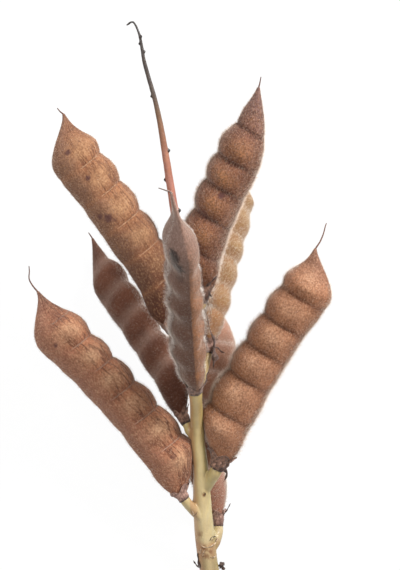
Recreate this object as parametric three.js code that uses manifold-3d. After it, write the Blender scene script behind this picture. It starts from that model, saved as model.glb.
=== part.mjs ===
// A cut and dried lupin fruiting stalk: eight hairy pods on one stem, lying on its lower pods.
// Millimetres, +Z up. The stem runs along +Y and rises from its cut end to its bare tip.
import * as THREE from "three";
import { mergeVertices } from "three/addons/utils/BufferGeometryUtils.js";
import Module from "manifold-3d";

const wasm = await Module();
wasm.setup();

// A full-grown pod. The smaller pods take a share of these.
const POD_WIDTH = 16.8;
const POD_THICKNESS = 11.8;
const NECK_RADIUS = 1.35;
const NECK_LENGTH = 17;
const BEAK_RADIUS = 0.5;
const BEAK_LENGTH = 16;
const STYLE_RADIUS = 0.36;
const SEED_PITCH = 11;
const FIRST_GROOVE = 17.5;
const GROOVE_COUNT = 5;

// The body is straight. The neck leaves it at the outer edge, and the beak near the stem side.
const NECK_OFFSET = 6.6;
const BEAK_OFFSET = 4;

// The grooves between the seeds notch both edges and lean back towards the outer one.
const INNER_NOTCH = 1.3;
const OUTER_NOTCH = 0.3;
const GROOVE_LEAN = 1.2;
const LENS_POWER = 2.3;
const LENS_FLATNESS = 0.75;

// A calyx is a short cup round the neck, with five small teeth.
const CALYX_BELOW = 3;
const CALYX_WALL = 0.65;
const CALYX_TOOTH = 0.7;
const GAP = 0.48;

// Facets.
const POD_SIDES = 12;
const STEPS_PER_SEED = 4;
const END_STEPS = 7;
const CALYX_SIDES = 10;
const STEM_SIDES = 10;
const STALK_SIDES = 8;
const TWIG_SIDES = 5;

// The middle of the whole cluster seen from above, in the frame that the points below use.
const CENTRE_X = -7.7;
const CENTRE_Y = -12.1;

// Colour and roughness of each finish.
const STEM_GREEN = [0xc3b484, 0.6];
const POD_BROWN = [0xa0714f, 0.85];
const POD_STRAW = [0xcaa673, 0.85];
const POD_GREY = [0x9a8373, 0.9];
const CALYX_BROWN = [0x6a4c3f, 0.9];
const SCRAP_DARK = [0x3c2f2b, 0.9];

// The stem from its cut end to its hooked tip: x, y, z, radius.
const STEM = [
  [4.8, -105.9, 3, 3.4],
  [3.1, -97.2, 6, 3.3],
  [1.7, -86.5, 9.4, 3.4],
  [0.7, -73, 13.5, 3.1],
  [0.2, -60.7, 17.4, 2.5],
  [-0.7, -52.1, 20.1, 2.3],
  [-1.4, -38.4, 24.5, 2.1],
  [-3, -18.2, 30.5, 1.95],
  [-5.5, 8.2, 37.8, 1.8],
  [-8.3, 24.3, 42, 1.4],
  [-11.35, 43.4, 46.5, 1.15],
  [-13, 52.9, 48.7, 0.9],
  [-14.4, 59.2, 50, 0.8],
  [-17.9, 71.7, 52.5, 0.65],
  [-18.9, 77.9, 53.4, 0.5],
  [-19.8, 81.1, 53.8, 0.4],
  [-20.7, 82.9, 54, 0.36],
  [-21.4, 83.7, 54, 0.36],
  [-22.4, 83.2, 54, 0.36],
  [-23.4, 82.5, 53.8, 0.36],
];
const STEM_STEPS = 46;

// Knobs where a flower or a leaf has dropped: y on the stem, degrees round it from +X towards +Z, radius.
const KNOBS = [
  [79, 20, 0.5],
  [76.8, 190, 0.55],
  [74.3, 10, 0.55],
  [60.3, 175, 0.6],
  [43.3, 5, 0.75],
  [34, 185, 0.8],
  [24.2, 0, 0.9],
  [-73.5, 165, 1.3],
  [-84.6, 350, 1.5],
  [-86.3, 50, 1.1],
];
const KNOB_STANDS_OUT = 0.35;

// The pods. base is the neck, beak the tip, toStem the side that faces the stem, style the thread's route,
// relief the depth of the grooves as a share of the thickness, and reach how far across the pod they run.
const PODS = [
  {
    name: "low_left",
    colour: POD_BROWN,
    base: [-6.2, -70.9, 17.5],
    beak: [-53.9, -2.2, 28],
    neckOffset: 6.8,
    neckLength: 14.5,
    bow: 0.8,
    width: 16,
    toStem: [0.8, 0.58, -0.15],
    style: [[-55.5, -0.2, 28.4], [-56.6, 2, 28.8], [-56.5, 4.6, 29.2], [-56.6, 6.3, 29.5]],
    relief: 0.12,
    reach: 0,
    stalk: [[1, -79.5, 12, 2], [-1.8, -76.6, 14.8, 1.8]],
    stalkRadius: 1.75,
    calyxTop: 2.4,
    turn: 0.4,
  },
  {
    name: "low_right",
    colour: POD_BROWN,
    base: [6.8, -59.1, 20.5],
    beak: [37.8, 11.9, 37],
    neckOffset: 6.3,
    neckLength: 14,
    beakOffset: 4.6,
    beakLength: 14,
    neckRadius: 2.2,
    width: 17,
    toStem: [-0.9, 0.36, -0.25],
    style: [[39.2, 14.1, 37.2], [40.3, 16.7, 37.4], [41, 19.4, 37.6], [41.3, 20.2, 37.7]],
    relief: 0.36,
    reach: -0.7,
    stalk: [[0.9, -70, 14.4, 2.2], [3.2, -66, 17, 2.2]],
    stalkRadius: 2.1,
    calyxTop: 2.8,
    turn: 1.6,
    twigs: [[[7.2, -61, 20.6, 0.7], [9, -63.1, 20.4, 0.6], [8.6, -64.9, 19.6, 0.5], [7.4, -66.8, 18.8, 0.4]]],
  },
  {
    name: "high_left",
    colour: POD_BROWN,
    base: [-10.5, -13.1, 34],
    beak: [-44.1, 55.1, 45],
    neckOffset: 6.5,
    beakOffset: 4.3,
    beakLength: 13,
    bow: 0.3,
    width: 16,
    toStem: [0.88, 0.43, -0.2],
    style: [[-45, 55.8, 45.3], [-46, 57, 45.6]],
    relief: 0.12,
    reach: 0,
    stalk: [[-3.4, -21.5, 29.6, 1.5], [-6.4, -18.4, 31.4, 1.4]],
    stalkRadius: 1.4,
    calyxTop: 2.2,
    turn: 2.2,
    twigs: [
      [[-11.6, -14.2, 33, 0.6], [-14.3, -11.6, 33, 0.6], [-17, -9.3, 33.4, 0.35]],
      [[-12.4, -12.4, 34, 0.5], [-14.4, -9.9, 34.4, 0.5], [-15.6, -8, 34.6, 0.35]],
    ],
  },
  {
    name: "high_right",
    colour: POD_BROWN,
    base: [1.8, -1.4, 38.6],
    beak: [18.8, 63.2, 49.6],
    toStem: [-0.95, 0.2, -0.35],
    style: [[19.2, 64.9, 49.9], [19.5, 66.6, 50.2]],
    width: 14.6,
    pitch: 10.4,
    first: 13.5,
    beakLength: 21,
    neckOffset: 6.6,
    beakOffset: 3.3,
    bow: 0.5,
    cone: 0.7,
    relief: 0.42,
    reach: -0.8,
    stalk: [[-4.2, -6, 34.2, 1.5], [-1.6, -5.4, 36, 1.4]],
    stalkRadius: 1.4,
    calyxTop: 2,
    turn: 0.9,
    twigs: [
      [[2, -0.6, 40.4, 0.6], [3.5, 0.9, 41.6, 0.5], [4.8, 2.2, 42.2, 0.45], [6, 3.5, 42.5, 0.35]],
      [[2.7, -2.4, 39.6, 0.5], [3.6, -3.6, 40.2, 0.45], [4.4, -5, 40.2, 0.35]],
    ],
  },
  {
    name: "mid_left",
    colour: POD_BROWN,
    base: [-5.9, -44.2, 17],
    beak: [-37.1, 16, 3.2],
    toStem: [0.68, 0.36, 0.6],
    style: [[-37.8, 17.1, 3.1], [-38.5, 18.1, 3.2]],
    size: 0.87,
    width: 14.5,
    thickness: 11,
    pitch: 9.7,
    first: 18.8,
    relief: 0.24,
    reach: -0.6,
    stalk: [[-0.6, -52.5, 19.6, 1.7], [-3.8, -48.6, 18.4, 1.6]],
    stalkRadius: 1.5,
    calyxTop: 1.8,
    turn: 3,
  },
  {
    name: "pale",
    colour: POD_STRAW,
    base: [3.2, -20.2, 17.5],
    beak: [15.2, 41.4, 2.6],
    toStem: [-0.35, 0.1, 0.93],
    style: [[15.4, 42.5, 2.4], [15.5, 43.5, 2.4]],
    size: 0.8,
    width: 13.8,
    thickness: 10.6,
    pitch: 8.5,
    first: 15.4,
    grooves: 4,
    relief: 0.3,
    reach: -0.6,
    stalk: [[-1.3, -36.4, 24.9, 1.6], [1.6, -27.4, 20.6, 1.5]],
    stalkRadius: 1.4,
    calyxTop: 2,
    turn: 1.2,
    twigs: [
      [[4.6, -20.8, 19.6, 0.45], [4.7, -18.7, 22.8, 0.4], [3.2, -14.5, 26.2, 0.35], [2.2, -9, 27.5, 0.35]],
      [[4.6, -21, 19.4, 0.5], [5.9, -21, 20.4, 0.4], [7.1, -22.3, 20, 0.35], [8.6, -22.9, 19.5, 0.35]],
      [[4.6, -21.4, 19.6, 0.9], [5.1, -23.6, 21.6, 1.2], [4.6, -26.2, 22.8, 0.9], [4.4, -28.2, 23.2, 0.4]],
    ],
  },
  {
    name: "under",
    colour: POD_BROWN,
    base: [6.2, -79.9, 4.2],
    beak: [4.5, -3.4, 7.8],
    toStem: [-0.866, 0, 0.5],
    style: [[4.4, -2.4, 7.9], [4.4, -1.4, 8]],
    size: 0.9,
    width: 14.2,
    thickness: 10.4,
    pitch: 10.6,
    first: 15.5,
    relief: 0.26,
    reach: -0.7,
    stalk: [[2.2, -92, 8.2, 2.2], [4.5, -88, 7.2, 2.5], [6, -84.8, 5.4, 2]],
    stalkRadius: 1.7,
    calyxTop: 2,
    turn: 0.2,
    twigs: [[[7.8, -79.4, 5, 0.5], [8.8, -78, 5.8, 0.45], [9.6, -76.6, 6.6, 0.4], [10.5, -74.7, 7.5, 0.35]]],
  },
  {
    name: "front",
    colour: POD_GREY,
    base: [-1.6, -34.8, 34.4],
    beak: [-8.7, 27.9, 80.4],
    toStem: [-0.24, 0, -1],
    style: [[-10.2, 28.6, 81], [-12.6, 29.4, 81.4]],
    neckOffset: 5.2,
    neckRadius: 1.8,
    beakOffset: 5.6,
    thickness: 10.8,
    taper: 0.18,
    pitch: 10.3,
    first: 17,
    relief: 0.14,
    reach: -0.8,
    stalk: [[-1, -52, 20.6, 1.5], [-1.1, -47, 23.2, 1.7], [-1.2, -42.6, 27.4, 1.7]],
    stalkRadius: 2.2,
    calyxTop: 2.2,
    turn: 0.7,
    twigs: [
      [[0.3, -34.2, 34.4, 0.5], [2.2, -31.2, 35.2, 0.4], [2.2, -29.5, 35.8, 0.35], [3.3, -27.8, 36, 0.35]],
      [[-3.8, -34.4, 34.2, 0.5], [-5.6, -31.4, 35, 0.4], [-6.6, -29.8, 35.4, 0.35], [-5.9, -28.6, 36, 0.35]],
    ],
  },
];

// Torn bark and old bract ends at the foot of the stem.
const SCRAPS = {
  clump: [
    [[6.3, -96.5, 5.8, 1], [7.5, -95.7, 5.8, 1.2], [8.5, -96.4, 5.4, 0.7]],
    [[7, -96.4, 5.4, 0.9], [7.9, -97.4, 5, 0.9], [8.5, -98.6, 4.8, 0.5]],
  ],
  fibres: [
    [[-0.7, -91.6, 9.6, 0.4], [-0.3, -94, 8.8, 0.8], [0.3, -97, 7.8, 0.7], [0.9, -100, 6.8, 0.5]],
    [[0.2, -97.3, 7.5, 0.45], [-1.2, -96, 7.6, 0.35], [-2.4, -94.2, 8, 0.35]],
  ],
};

function point(stop) {
  return new THREE.Vector3(stop[0], stop[1], stop[2]);
}

function clamp01(value) {
  return Math.min(1, Math.max(0, value));
}

function smooth(value) {
  const x = clamp01(value);
  return x * x * (3 - 2 * x);
}

function mix(a, b, share) {
  return a + (b - a) * share;
}

function turnOf(j, sides) {
  return (2 * Math.PI * j) / sides;
}

// A closed surface through rings of equally many points, capped at both ends.
function loft(rings) {
  const sides = rings[0].length;
  const positions = rings.flat().flatMap((p) => [p.x, p.y, p.z]);
  const index = [];
  for (let i = 0; i + 1 < rings.length; i += 1) {
    for (let j = 0; j < sides; j += 1) {
      const a = i * sides + j;
      const b = i * sides + ((j + 1) % sides);
      index.push(a, b, b + sides, a, b + sides, a + sides);
    }
  }
  for (const ring of [0, rings.length - 1]) {
    const middle = new THREE.Vector3();
    for (const p of rings[ring]) middle.addScaledVector(p, 1 / sides);
    const centre = positions.length / 3;
    positions.push(middle.x, middle.y, middle.z);
    for (let j = 0; j < sides; j += 1) {
      const a = ring * sides + j;
      const b = ring * sides + ((j + 1) % sides);
      index.push(centre, ...(ring === 0 ? [b, a] : [a, b]));
    }
  }
  const geometry = new THREE.BufferGeometry();
  geometry.setAttribute("position", new THREE.Float32BufferAttribute(positions, 3));
  geometry.setIndex(index);
  return geometry;
}

// A round tube along a smooth curve through stops of x, y, z and radius.
function tube(stops, sides, steps) {
  const curve = new THREE.CatmullRomCurve3(stops.map(point), false, "centripetal");
  const frames = curve.computeFrenetFrames(steps, false);
  const rings = [];
  for (let i = 0; i <= steps; i += 1) {
    const t = curve.getUtoTmapping(i / steps);
    const stop = Math.min(stops.length - 2, Math.floor(t * (stops.length - 1)));
    const radius = mix(stops[stop][3], stops[stop + 1][3], t * (stops.length - 1) - stop);
    const centre = curve.getPoint(t);
    const ring = [];
    for (let j = 0; j < sides; j += 1) {
      const angle = turnOf(j, sides);
      ring.push(centre.clone()
        .addScaledVector(frames.normals[i], radius * Math.cos(angle))
        .addScaledVector(frames.binormals[i], radius * Math.sin(angle)));
    }
    rings.push(ring);
  }
  return loft(rings);
}

function twig(stops) {
  return tube(stops, TWIG_SIDES, 2 * stops.length);
}

// Solids for joining and cutting.
function solid(geometry) {
  const bare = new THREE.BufferGeometry();
  bare.setAttribute("position", geometry.getAttribute("position"));
  bare.setIndex(geometry.getIndex());
  const merged = mergeVertices(bare, 1e-4);
  return new wasm.Manifold(new wasm.Mesh({
    numProp: 3,
    vertProperties: new Float32Array(merged.getAttribute("position").array),
    triVerts: new Uint32Array(merged.getIndex().array),
  }));
}

function join(geometries) {
  return geometries.map(solid).reduce((whole, next) => whole.add(next));
}

function toGeometry(body) {
  const mesh = body.getMesh();
  const geometry = new THREE.BufferGeometry();
  geometry.setAttribute("position", new THREE.Float32BufferAttribute(mesh.vertProperties, 3));
  geometry.setIndex(Array.from(mesh.triVerts));
  return geometry;
}

// The surface that the stalk lies on. What rests on it is flat there.
const floorBox = new THREE.BoxGeometry(400, 400, 40);
floorBox.translate(0, 0, -20);
const floor = solid(floorBox);

// The outline and the grooves of one pod, as functions of s, the distance from its neck.
function podShape(pod) {
  const size = pod.size ?? 1;
  const length = point(pod.base).distanceTo(point(pod.beak));
  const pitch = pod.pitch ?? SEED_PITCH;
  const first = pod.first ?? FIRST_GROOVE;
  const grooves = pod.grooves ?? GROOVE_COUNT;
  const width = (pod.width ?? POD_WIDTH) / 2;
  const thickness = (pod.thickness ?? POD_THICKNESS) / 2;
  const neckLength = (pod.neckLength ?? NECK_LENGTH) * size;
  const beakLength = (pod.beakLength ?? BEAK_LENGTH) * size;
  const neckOffset = (pod.neckOffset ?? NECK_OFFSET) * size;
  const beakOffset = (pod.beakOffset ?? BEAK_OFFSET) * size;
  const neckRadius = pod.neckRadius ?? NECK_RADIUS;
  const cone = pod.cone ?? 0;
  const taper = pod.taper ?? 0;
  const bow = pod.bow ?? 0;

  function rise(s) {
    return Math.sin((Math.PI / 2) * clamp01(s / neckLength)) ** 0.9;
  }
  function fall(s) {
    const x = clamp01((length - s) / beakLength);
    return mix(smooth(x), Math.sin((Math.PI / 2) * x), cone);
  }
  // The seeds end before the beak does, so the thickness falls off sooner than the width.
  function thickRise(s) {
    return smooth(s / (1.06 * neckLength));
  }
  function thickFall(s) {
    const x = (length - s - 0.36 * beakLength) / (0.56 * beakLength);
    return mix(smooth(x), fall(s), cone);
  }
  return {
    length,
    pitch,
    first,
    grooves,
    relief: pod.relief,
    reach: pod.reach,
    lean: (s) => GROOVE_LEAN * rise(s) * fall(s),
    halfWidth: (s) => mix(BEAK_RADIUS, mix(neckRadius, width, rise(s)), fall(s)),
    halfThickness(s) {
      const body = thickness * (1 - taper * smooth((2 * s) / length - 1));
      return mix(BEAK_RADIUS, mix(neckRadius, body, thickRise(s)), thickFall(s));
    },
    // The neck and the beak lie on the line from base to beak, and the body beside it.
    centre(s) {
      const line = mix(neckOffset, -beakOffset, s / length) + bow * Math.sin((Math.PI * s) / length);
      return line - neckOffset * (1 - rise(s)) ** 0.6 + beakOffset * (1 - fall(s)) ** 2;
    },
    // 0 over the middle of a seed and 1 in the groove between two.
    groove(s) {
      const cell = (s - first) / pitch;
      if (cell < -0.5 || cell > grooves - 0.5) return 0;
      const off = Math.abs(2 * (cell - Math.floor(cell)) - 1);
      return 1 - Math.sqrt(1 - off ** 2.6);
    },
  };
}

// A point of the pod's surface: angle 0 is the seam that faces the stem, grow is added all round.
function podPoint(shape, s, angle, grow) {
  const v = Math.cos(angle);
  const side = Math.sign(Math.round(1e6 * Math.sin(angle)));
  const groove = shape.groove(s);
  const notch = v > 0 ? INNER_NOTCH : OUTER_NOTCH;
  const across = shape.centre(s) + (shape.halfWidth(s) - notch * groove) * v;
  const reach = smooth((v - shape.reach + 0.5) / 0.5);
  const lens = (1 - Math.abs(v) ** LENS_POWER) ** LENS_FLATNESS;
  const thick = shape.halfThickness(s) * (1 - shape.relief * groove * reach) * lens;
  return new THREE.Vector3(
    across + grow * v,
    side * (thick + grow * Math.abs(Math.sin(angle))),
    s + shape.lean(s) * (v - 1),
  );
}

// Puts a pod's own frame in place: the origin at its neck, z along it, x towards the stem.
function podMatrix(pod) {
  const axis = point(pod.beak).sub(point(pod.base)).normalize();
  const toStem = point(pod.toStem);
  toStem.addScaledVector(axis, -toStem.dot(axis)).normalize();
  const side = new THREE.Vector3().crossVectors(axis, toStem);
  return new THREE.Matrix4().makeBasis(toStem, side, axis).setPosition(point(pod.base));
}

// Rings stand closer together at the neck, in the grooves and at the beak.
function podStations(shape) {
  const { first, pitch, grooves, length } = shape;
  const lastGroove = first + (grooves - 1) * pitch;
  const stations = [];
  for (let i = 0; i < END_STEPS; i += 1) stations.push(first * (i / END_STEPS) ** 1.25);
  for (let i = 0; i < (grooves - 1) * STEPS_PER_SEED; i += 1) {
    const part = (i % STEPS_PER_SEED) / STEPS_PER_SEED;
    const eased = part - 0.06 * Math.sin(2 * Math.PI * part);
    stations.push(first + (Math.floor(i / STEPS_PER_SEED) + eased) * pitch);
  }
  const beakSteps = END_STEPS + 3;
  for (let i = 0; i <= beakSteps; i += 1) {
    stations.push(mix(lastGroove, length, i / beakSteps));
  }
  return stations;
}

function podRing(pod, s, grow) {
  const shape = podShape(pod);
  const matrix = podMatrix(pod);
  const ring = [];
  for (let j = 0; j < POD_SIDES; j += 1) {
    ring.push(podPoint(shape, s, turnOf(j, POD_SIDES), grow).applyMatrix4(matrix));
  }
  return ring;
}

function podBody(pod, grow) {
  const stations = podStations(podShape(pod));
  const rings = stations.map((s) => podRing(pod, s, grow));
  if (grow > 0) {
    const back = new THREE.Vector3(0, 0, -grow).transformDirection(podMatrix(pod)).multiplyScalar(grow);
    rings.unshift(rings[0].map((p) => p.clone().add(back)));
  }
  return loft(rings);
}

// The dried style stays on the beak as a stiff thread.
function podStyle(pod) {
  const inside = point(pod.base).sub(point(pod.beak)).setLength(3).add(point(pod.beak));
  const route = [inside.toArray(), pod.beak, ...pod.style];
  return twig(route.map((p) => [...p, STYLE_RADIUS]));
}

function makePod(pod) {
  return toGeometry(join([podBody(pod, 0), podStyle(pod)]).subtract(floor));
}

// A point on the pod's own line, before its neck.
function beforeNeck(pod, distance) {
  const axis = point(pod.beak).sub(point(pod.base)).normalize();
  return point(pod.base).addScaledVector(axis, -distance);
}

function makeCalyx(pod) {
  const shape = podShape(pod);
  const matrix = podMatrix(pod);
  const outside = GAP + CALYX_WALL;
  const neck = (pod.neckRadius ?? NECK_RADIUS) + outside;
  const rings = [];
  for (const t of [0, 0.5, 1]) {
    const radius = mix(pod.stalkRadius + 0.25, neck, Math.sin((Math.PI / 2) * t));
    const ring = [];
    for (let j = 0; j < CALYX_SIDES; j += 1) {
      const angle = turnOf(j, CALYX_SIDES);
      ring.push(new THREE.Vector3(
        radius * Math.cos(angle),
        radius * Math.sin(angle),
        mix(-CALYX_BELOW, -GAP, t),
      ).applyMatrix4(matrix));
    }
    rings.push(ring);
  }
  for (const t of [0.5, 1]) {
    const ring = [];
    for (let j = 0; j < CALYX_SIDES; j += 1) {
      const angle = turnOf(j, CALYX_SIDES);
      const top = pod.calyxTop + CALYX_TOOTH * Math.cos(5 * angle + pod.turn);
      ring.push(podPoint(shape, t * top, angle, outside).applyMatrix4(matrix));
    }
    rings.push(ring);
  }
  const flowers = (pod.twigs ?? []).map(twig);
  return toGeometry(join([loft(rings), ...flowers]).subtract(solid(podBody(pod, GAP))));
}

// The stem's middle and radius at a given y, below its hooked tip.
function stemAt(y) {
  const i = STEM.findIndex((stop, k) => k > 0 && y <= stop[1]);
  const [from, to] = [STEM[i - 1], STEM[i]];
  const share = (y - from[1]) / (to[1] - from[1]);
  const [x, , z, radius] = from.map((value, k) => mix(value, to[k], share));
  return { x, z, radius };
}

// The stem with a short stalk to each calyx and the knobs that fallen flowers left.
function makeStalk() {
  const parts = [tube(STEM, STEM_SIDES, STEM_STEPS)];
  for (const pod of PODS) {
    const ends = [beforeNeck(pod, CALYX_BELOW + 1.6), beforeNeck(pod, CALYX_BELOW + GAP)];
    const stops = [...pod.stalk, ...ends.map((p) => [...p.toArray(), pod.stalkRadius])];
    parts.push(tube(stops, STALK_SIDES, 6));
  }
  for (const [y, degrees, radius] of KNOBS) {
    const knob = new THREE.SphereGeometry(radius, 6, 4);
    const { x, z, radius: stemRadius } = stemAt(y);
    const angle = THREE.MathUtils.degToRad(degrees);
    const out = stemRadius - radius * (1 - KNOB_STANDS_OUT);
    knob.translate(x + out * Math.cos(angle), y, z + out * Math.sin(angle));
    parts.push(knob);
  }
  return toGeometry(join(parts).subtract(floor));
}

function scrapGeometry(strands) {
  const stem = solid(tube(STEM.map(([x, y, z, r]) => [x, y, z, r + GAP]), STEM_SIDES, STEM_STEPS));
  return toGeometry(join(strands.map(twig)).subtract(stem).subtract(floor));
}

const stalk = new THREE.Group();

function addMesh(name, geometry, [colour, roughness]) {
  const material = new THREE.MeshStandardMaterial({ color: colour, roughness, metalness: 0 });
  const mesh = new THREE.Mesh(geometry, material);
  mesh.name = name;
  mesh.position.set(-CENTRE_X, -CENTRE_Y, 0);
  stalk.add(mesh);
}

addMesh("stem", makeStalk(), STEM_GREEN);
for (const pod of PODS) {
  addMesh(`pod_${pod.name}`, makePod(pod), pod.colour);
  addMesh(`calyx_${pod.name}`, makeCalyx(pod), CALYX_BROWN);
}
for (const [name, strands] of Object.entries(SCRAPS)) {
  addMesh(`bark_${name}`, scrapGeometry(strands), SCRAP_DARK);
}

export default stalk;
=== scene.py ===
# %% [markdown]
# # A dried lupin stalk with its pods
# The object is a cut and dried flower stalk of white lupin. Eight pods stand on it, plump where the
# seeds are, and velvety with short pale hairs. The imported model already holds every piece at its
# real size, so it comes first, and each finer piece below goes where the plain one is.

import math
from functools import partial
from types import SimpleNamespace

import bpy
import numpy as np
from mathutils import Matrix, Vector, noise


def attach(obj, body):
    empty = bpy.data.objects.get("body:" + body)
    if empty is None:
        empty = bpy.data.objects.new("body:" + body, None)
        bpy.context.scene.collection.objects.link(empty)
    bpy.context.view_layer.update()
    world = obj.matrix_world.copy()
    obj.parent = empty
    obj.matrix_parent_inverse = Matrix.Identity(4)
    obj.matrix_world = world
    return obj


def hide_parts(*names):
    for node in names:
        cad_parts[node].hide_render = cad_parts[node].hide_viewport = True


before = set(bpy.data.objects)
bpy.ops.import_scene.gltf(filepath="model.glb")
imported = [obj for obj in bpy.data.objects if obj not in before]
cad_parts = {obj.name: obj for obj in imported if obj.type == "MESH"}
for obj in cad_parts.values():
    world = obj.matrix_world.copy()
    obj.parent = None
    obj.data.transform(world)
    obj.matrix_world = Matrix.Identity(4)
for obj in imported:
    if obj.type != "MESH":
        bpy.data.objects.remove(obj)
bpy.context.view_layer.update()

# %% [markdown]
# ## Units
# All the lists below are in millimetres, because that is how one thinks of a pod. Their origin is on
# the table straight under the place where the camera looks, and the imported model's own origin is
# under the middle of its box, so one shift brings the lists there.

# %% Units and places
MM = 0.001
SHIFT = np.array([7.7, 12.1, 0.0])


def placed(points):
    """Points in millimetres, moved into the model's frame and turned into metres."""
    return (np.asarray(points, float) + SHIFT) * MM


# %% [markdown]
# ## Camera
# The stalk lies on a table and is seen from straight above. A long lens from over half a metre away
# keeps the pods from spreading apart. The lens follows from the scale that the picture has at the
# height of the stem: so many pixels to a millimetre.

# %% Camera
IMAGE_HEIGHT = 570
SENSOR = 36
PIXELS_PER_MM = 3
CAMERA_HEIGHT = 645
SHARP_HEIGHT = 25

camera_data = bpy.data.cameras.new("camera")
camera_data.sensor_width = SENSOR
camera_data.lens = PIXELS_PER_MM * (CAMERA_HEIGHT - SHARP_HEIGHT) * SENSOR / IMAGE_HEIGHT
camera = bpy.data.objects.new("camera", camera_data)
camera.location = placed([0, 0, CAMERA_HEIGHT])
bpy.context.scene.collection.objects.link(camera)
bpy.context.scene.camera = camera
print("lens, mm:", round(camera_data.lens, 1))

# %% [markdown]
# ## Colours
# It is easiest to name a colour as screens show it, from 0 to 255. Shaders reckon in linear light,
# so a small function turns the one into the other.


# %% Screen colours in linear light
def srgb(red, green, blue):
    """A screen colour, 0 to 255, as the linear colour that a shader takes."""
    levels = [value / 255 for value in (red, green, blue)]
    return (*[x / 12.92 if x < 0.04045 else ((x + 0.055) / 1.055) ** 2.4 for x in levels], 1)


# %% [markdown]
# ## Shader nodes
# A shader is a net of nodes, and most of the work is linking them. A helper that makes one node and
# fills its inputs by name keeps each material down to a few lines that can be read.


# %% Helpers for shader nodes
def node(tree, kind, inputs=None, **settings):
    """Adds a node. Each input is given by name or number, as a plain value or as a socket to link."""
    made = tree.nodes.new(kind)
    for name, value in settings.items():
        setattr(made, name, value)
    for name, value in (inputs or {}).items():
        if isinstance(value, bpy.types.NodeSocket):
            tree.links.new(value, made.inputs[name])
        else:
            made.inputs[name].default_value = value
    return made


def blend(tree, factor, first, second, how="MIX"):
    """Mixes two colours by a factor."""
    inputs = {0: factor, 6: first, 7: second}
    return node(tree, "ShaderNodeMix", inputs, data_type="RGBA", blend_type=how).outputs[2]


def layered(tree, colour, *layers):
    """Lays colours over a first one. Each layer is a mask and its colour."""
    for mask, paint in layers:
        colour = blend(tree, mask, colour, paint)
    return colour


def reckon(tree, how, *values):
    """One step of arithmetic."""
    return node(tree, "ShaderNodeMath", dict(enumerate(values)), operation=how).outputs[0]


def product(tree, first, *others):
    """Values multiplied together."""
    for value in others:
        first = reckon(tree, "MULTIPLY", first, value)
    return first


def span(tree, value, low, high, first=0.0, last=1.0):
    """Takes a value's range from low to high smoothly to the range from first to last."""
    inputs = {"Value": value, "From Min": low, "From Max": high, "To Min": first, "To Max": last}
    return node(tree, "ShaderNodeMapRange", inputs, interpolation_type="SMOOTHSTEP").outputs[0]


def grain(tree, place, scale, detail=2.0, stretch=(1, 1, 1)):
    """Noise from 0 to 1 over a place in millimetres, with that many features to a millimetre."""
    scaled = node(tree, "ShaderNodeVectorMath", {0: place, 1: stretch}, operation="MULTIPLY").outputs[0]
    inputs = {"Vector": scaled, "Scale": scale, "Detail": detail}
    return node(tree, "ShaderNodeTexNoise", inputs).outputs[0]


def attribute(tree, name, output="Fac"):
    """A value that the mesh carries at its points."""
    return node(tree, "ShaderNodeAttribute", attribute_name=name).outputs[output]


# %% [markdown]
# Some nets are used more than once, so they become groups. A material sets its constants straight
# on its shader, and links the rest.


# %% Helpers for groups and materials
def group(name, inputs, outputs):
    """A new node group, with its input and output nodes. Each socket is a name, a kind and a value."""
    tree = bpy.data.node_groups.new(name, "ShaderNodeTree")
    for label, kind, value in inputs:
        socket = tree.interface.new_socket(label, in_out="INPUT", socket_type="NodeSocket" + kind)
        socket.default_value = value
    for label, kind in outputs:
        tree.interface.new_socket(label, in_out="OUTPUT", socket_type="NodeSocket" + kind)
    return tree, tree.nodes.new("NodeGroupInput"), tree.nodes.new("NodeGroupOutput")


def new_material(name, **constants):
    """A material with only its shader, which takes the constants, and its output."""
    material = bpy.data.materials.new(name)
    material.use_nodes = True
    shader = material.node_tree.nodes["Principled BSDF"]
    for label, value in constants.items():
        shader.inputs[label.replace("_", " ")].default_value = value
    return material, material.node_tree, shader


def surface(tree, shader, colour, roughness, bump=None):
    """Links what a shader takes. bump is a height, the metres it stands for, and its strength."""
    tree.links.new(colour, shader.inputs["Base Color"])
    tree.links.new(roughness, shader.inputs["Roughness"])
    if bump:
        made = node(tree, "ShaderNodeBump", dict(zip(("Height", "Distance", "Strength"), bump)))
        tree.links.new(made.outputs[0], shader.inputs["Normal"])


# %% [markdown]
# ## Dry skin
# Everything here is dry plant skin, and all of it is mottled in the same few ways: in broad soft
# blotches, in streaks along the fibres, and in fine specks and flecks. One node group makes these
# patterns once, and every material takes what it needs of them. The streaks come from noise that is
# drawn out along z, which is the direction of growth in each piece's own measure.

# %% The pattern of dry skin
USUAL_STRETCH = 0.14
skin_pattern, pattern_in, pattern_out = group(
    "dry skin pattern",
    [("Place", "Vector", (0, 0, 0)), ("Stretch", "Float", USUAL_STRETCH)],
    [("Blotch", "Float"), ("Streak", "Float"), ("Speck", "Float"), ("Fleck", "Float"), ("Height", "Float")],
)
place = pattern_in.outputs["Place"]
drawn = node(skin_pattern, "ShaderNodeCombineXYZ", {0: 1.0, 1: 1.0, 2: pattern_in.outputs["Stretch"]})
scaled = node(skin_pattern, "ShaderNodeVectorMath", {0: place, 1: drawn.outputs[0]}, operation="MULTIPLY")
streak = grain(skin_pattern, scaled.outputs[0], 1.2, 3.0)
speck = grain(skin_pattern, place, 1.7, 3.0)
for label, result in (
    ("Blotch", span(skin_pattern, grain(skin_pattern, place, 0.16, 4.0), 0.34, 0.66)),
    ("Streak", span(skin_pattern, streak, 0.32, 0.68)),
    ("Speck", span(skin_pattern, speck, 0.36, 0.64)),
    ("Fleck", span(skin_pattern, grain(skin_pattern, place, 2.6, 1.0, (1, 1, 0.45)), 0.5, 0.72)),
    ("Height", reckon(skin_pattern, "ADD", product(skin_pattern, streak, 0.5), speck)),
):
    skin_pattern.links.new(result, pattern_out.inputs[label])
print("dry skin pattern:", len(skin_pattern.nodes), "nodes")


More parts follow.
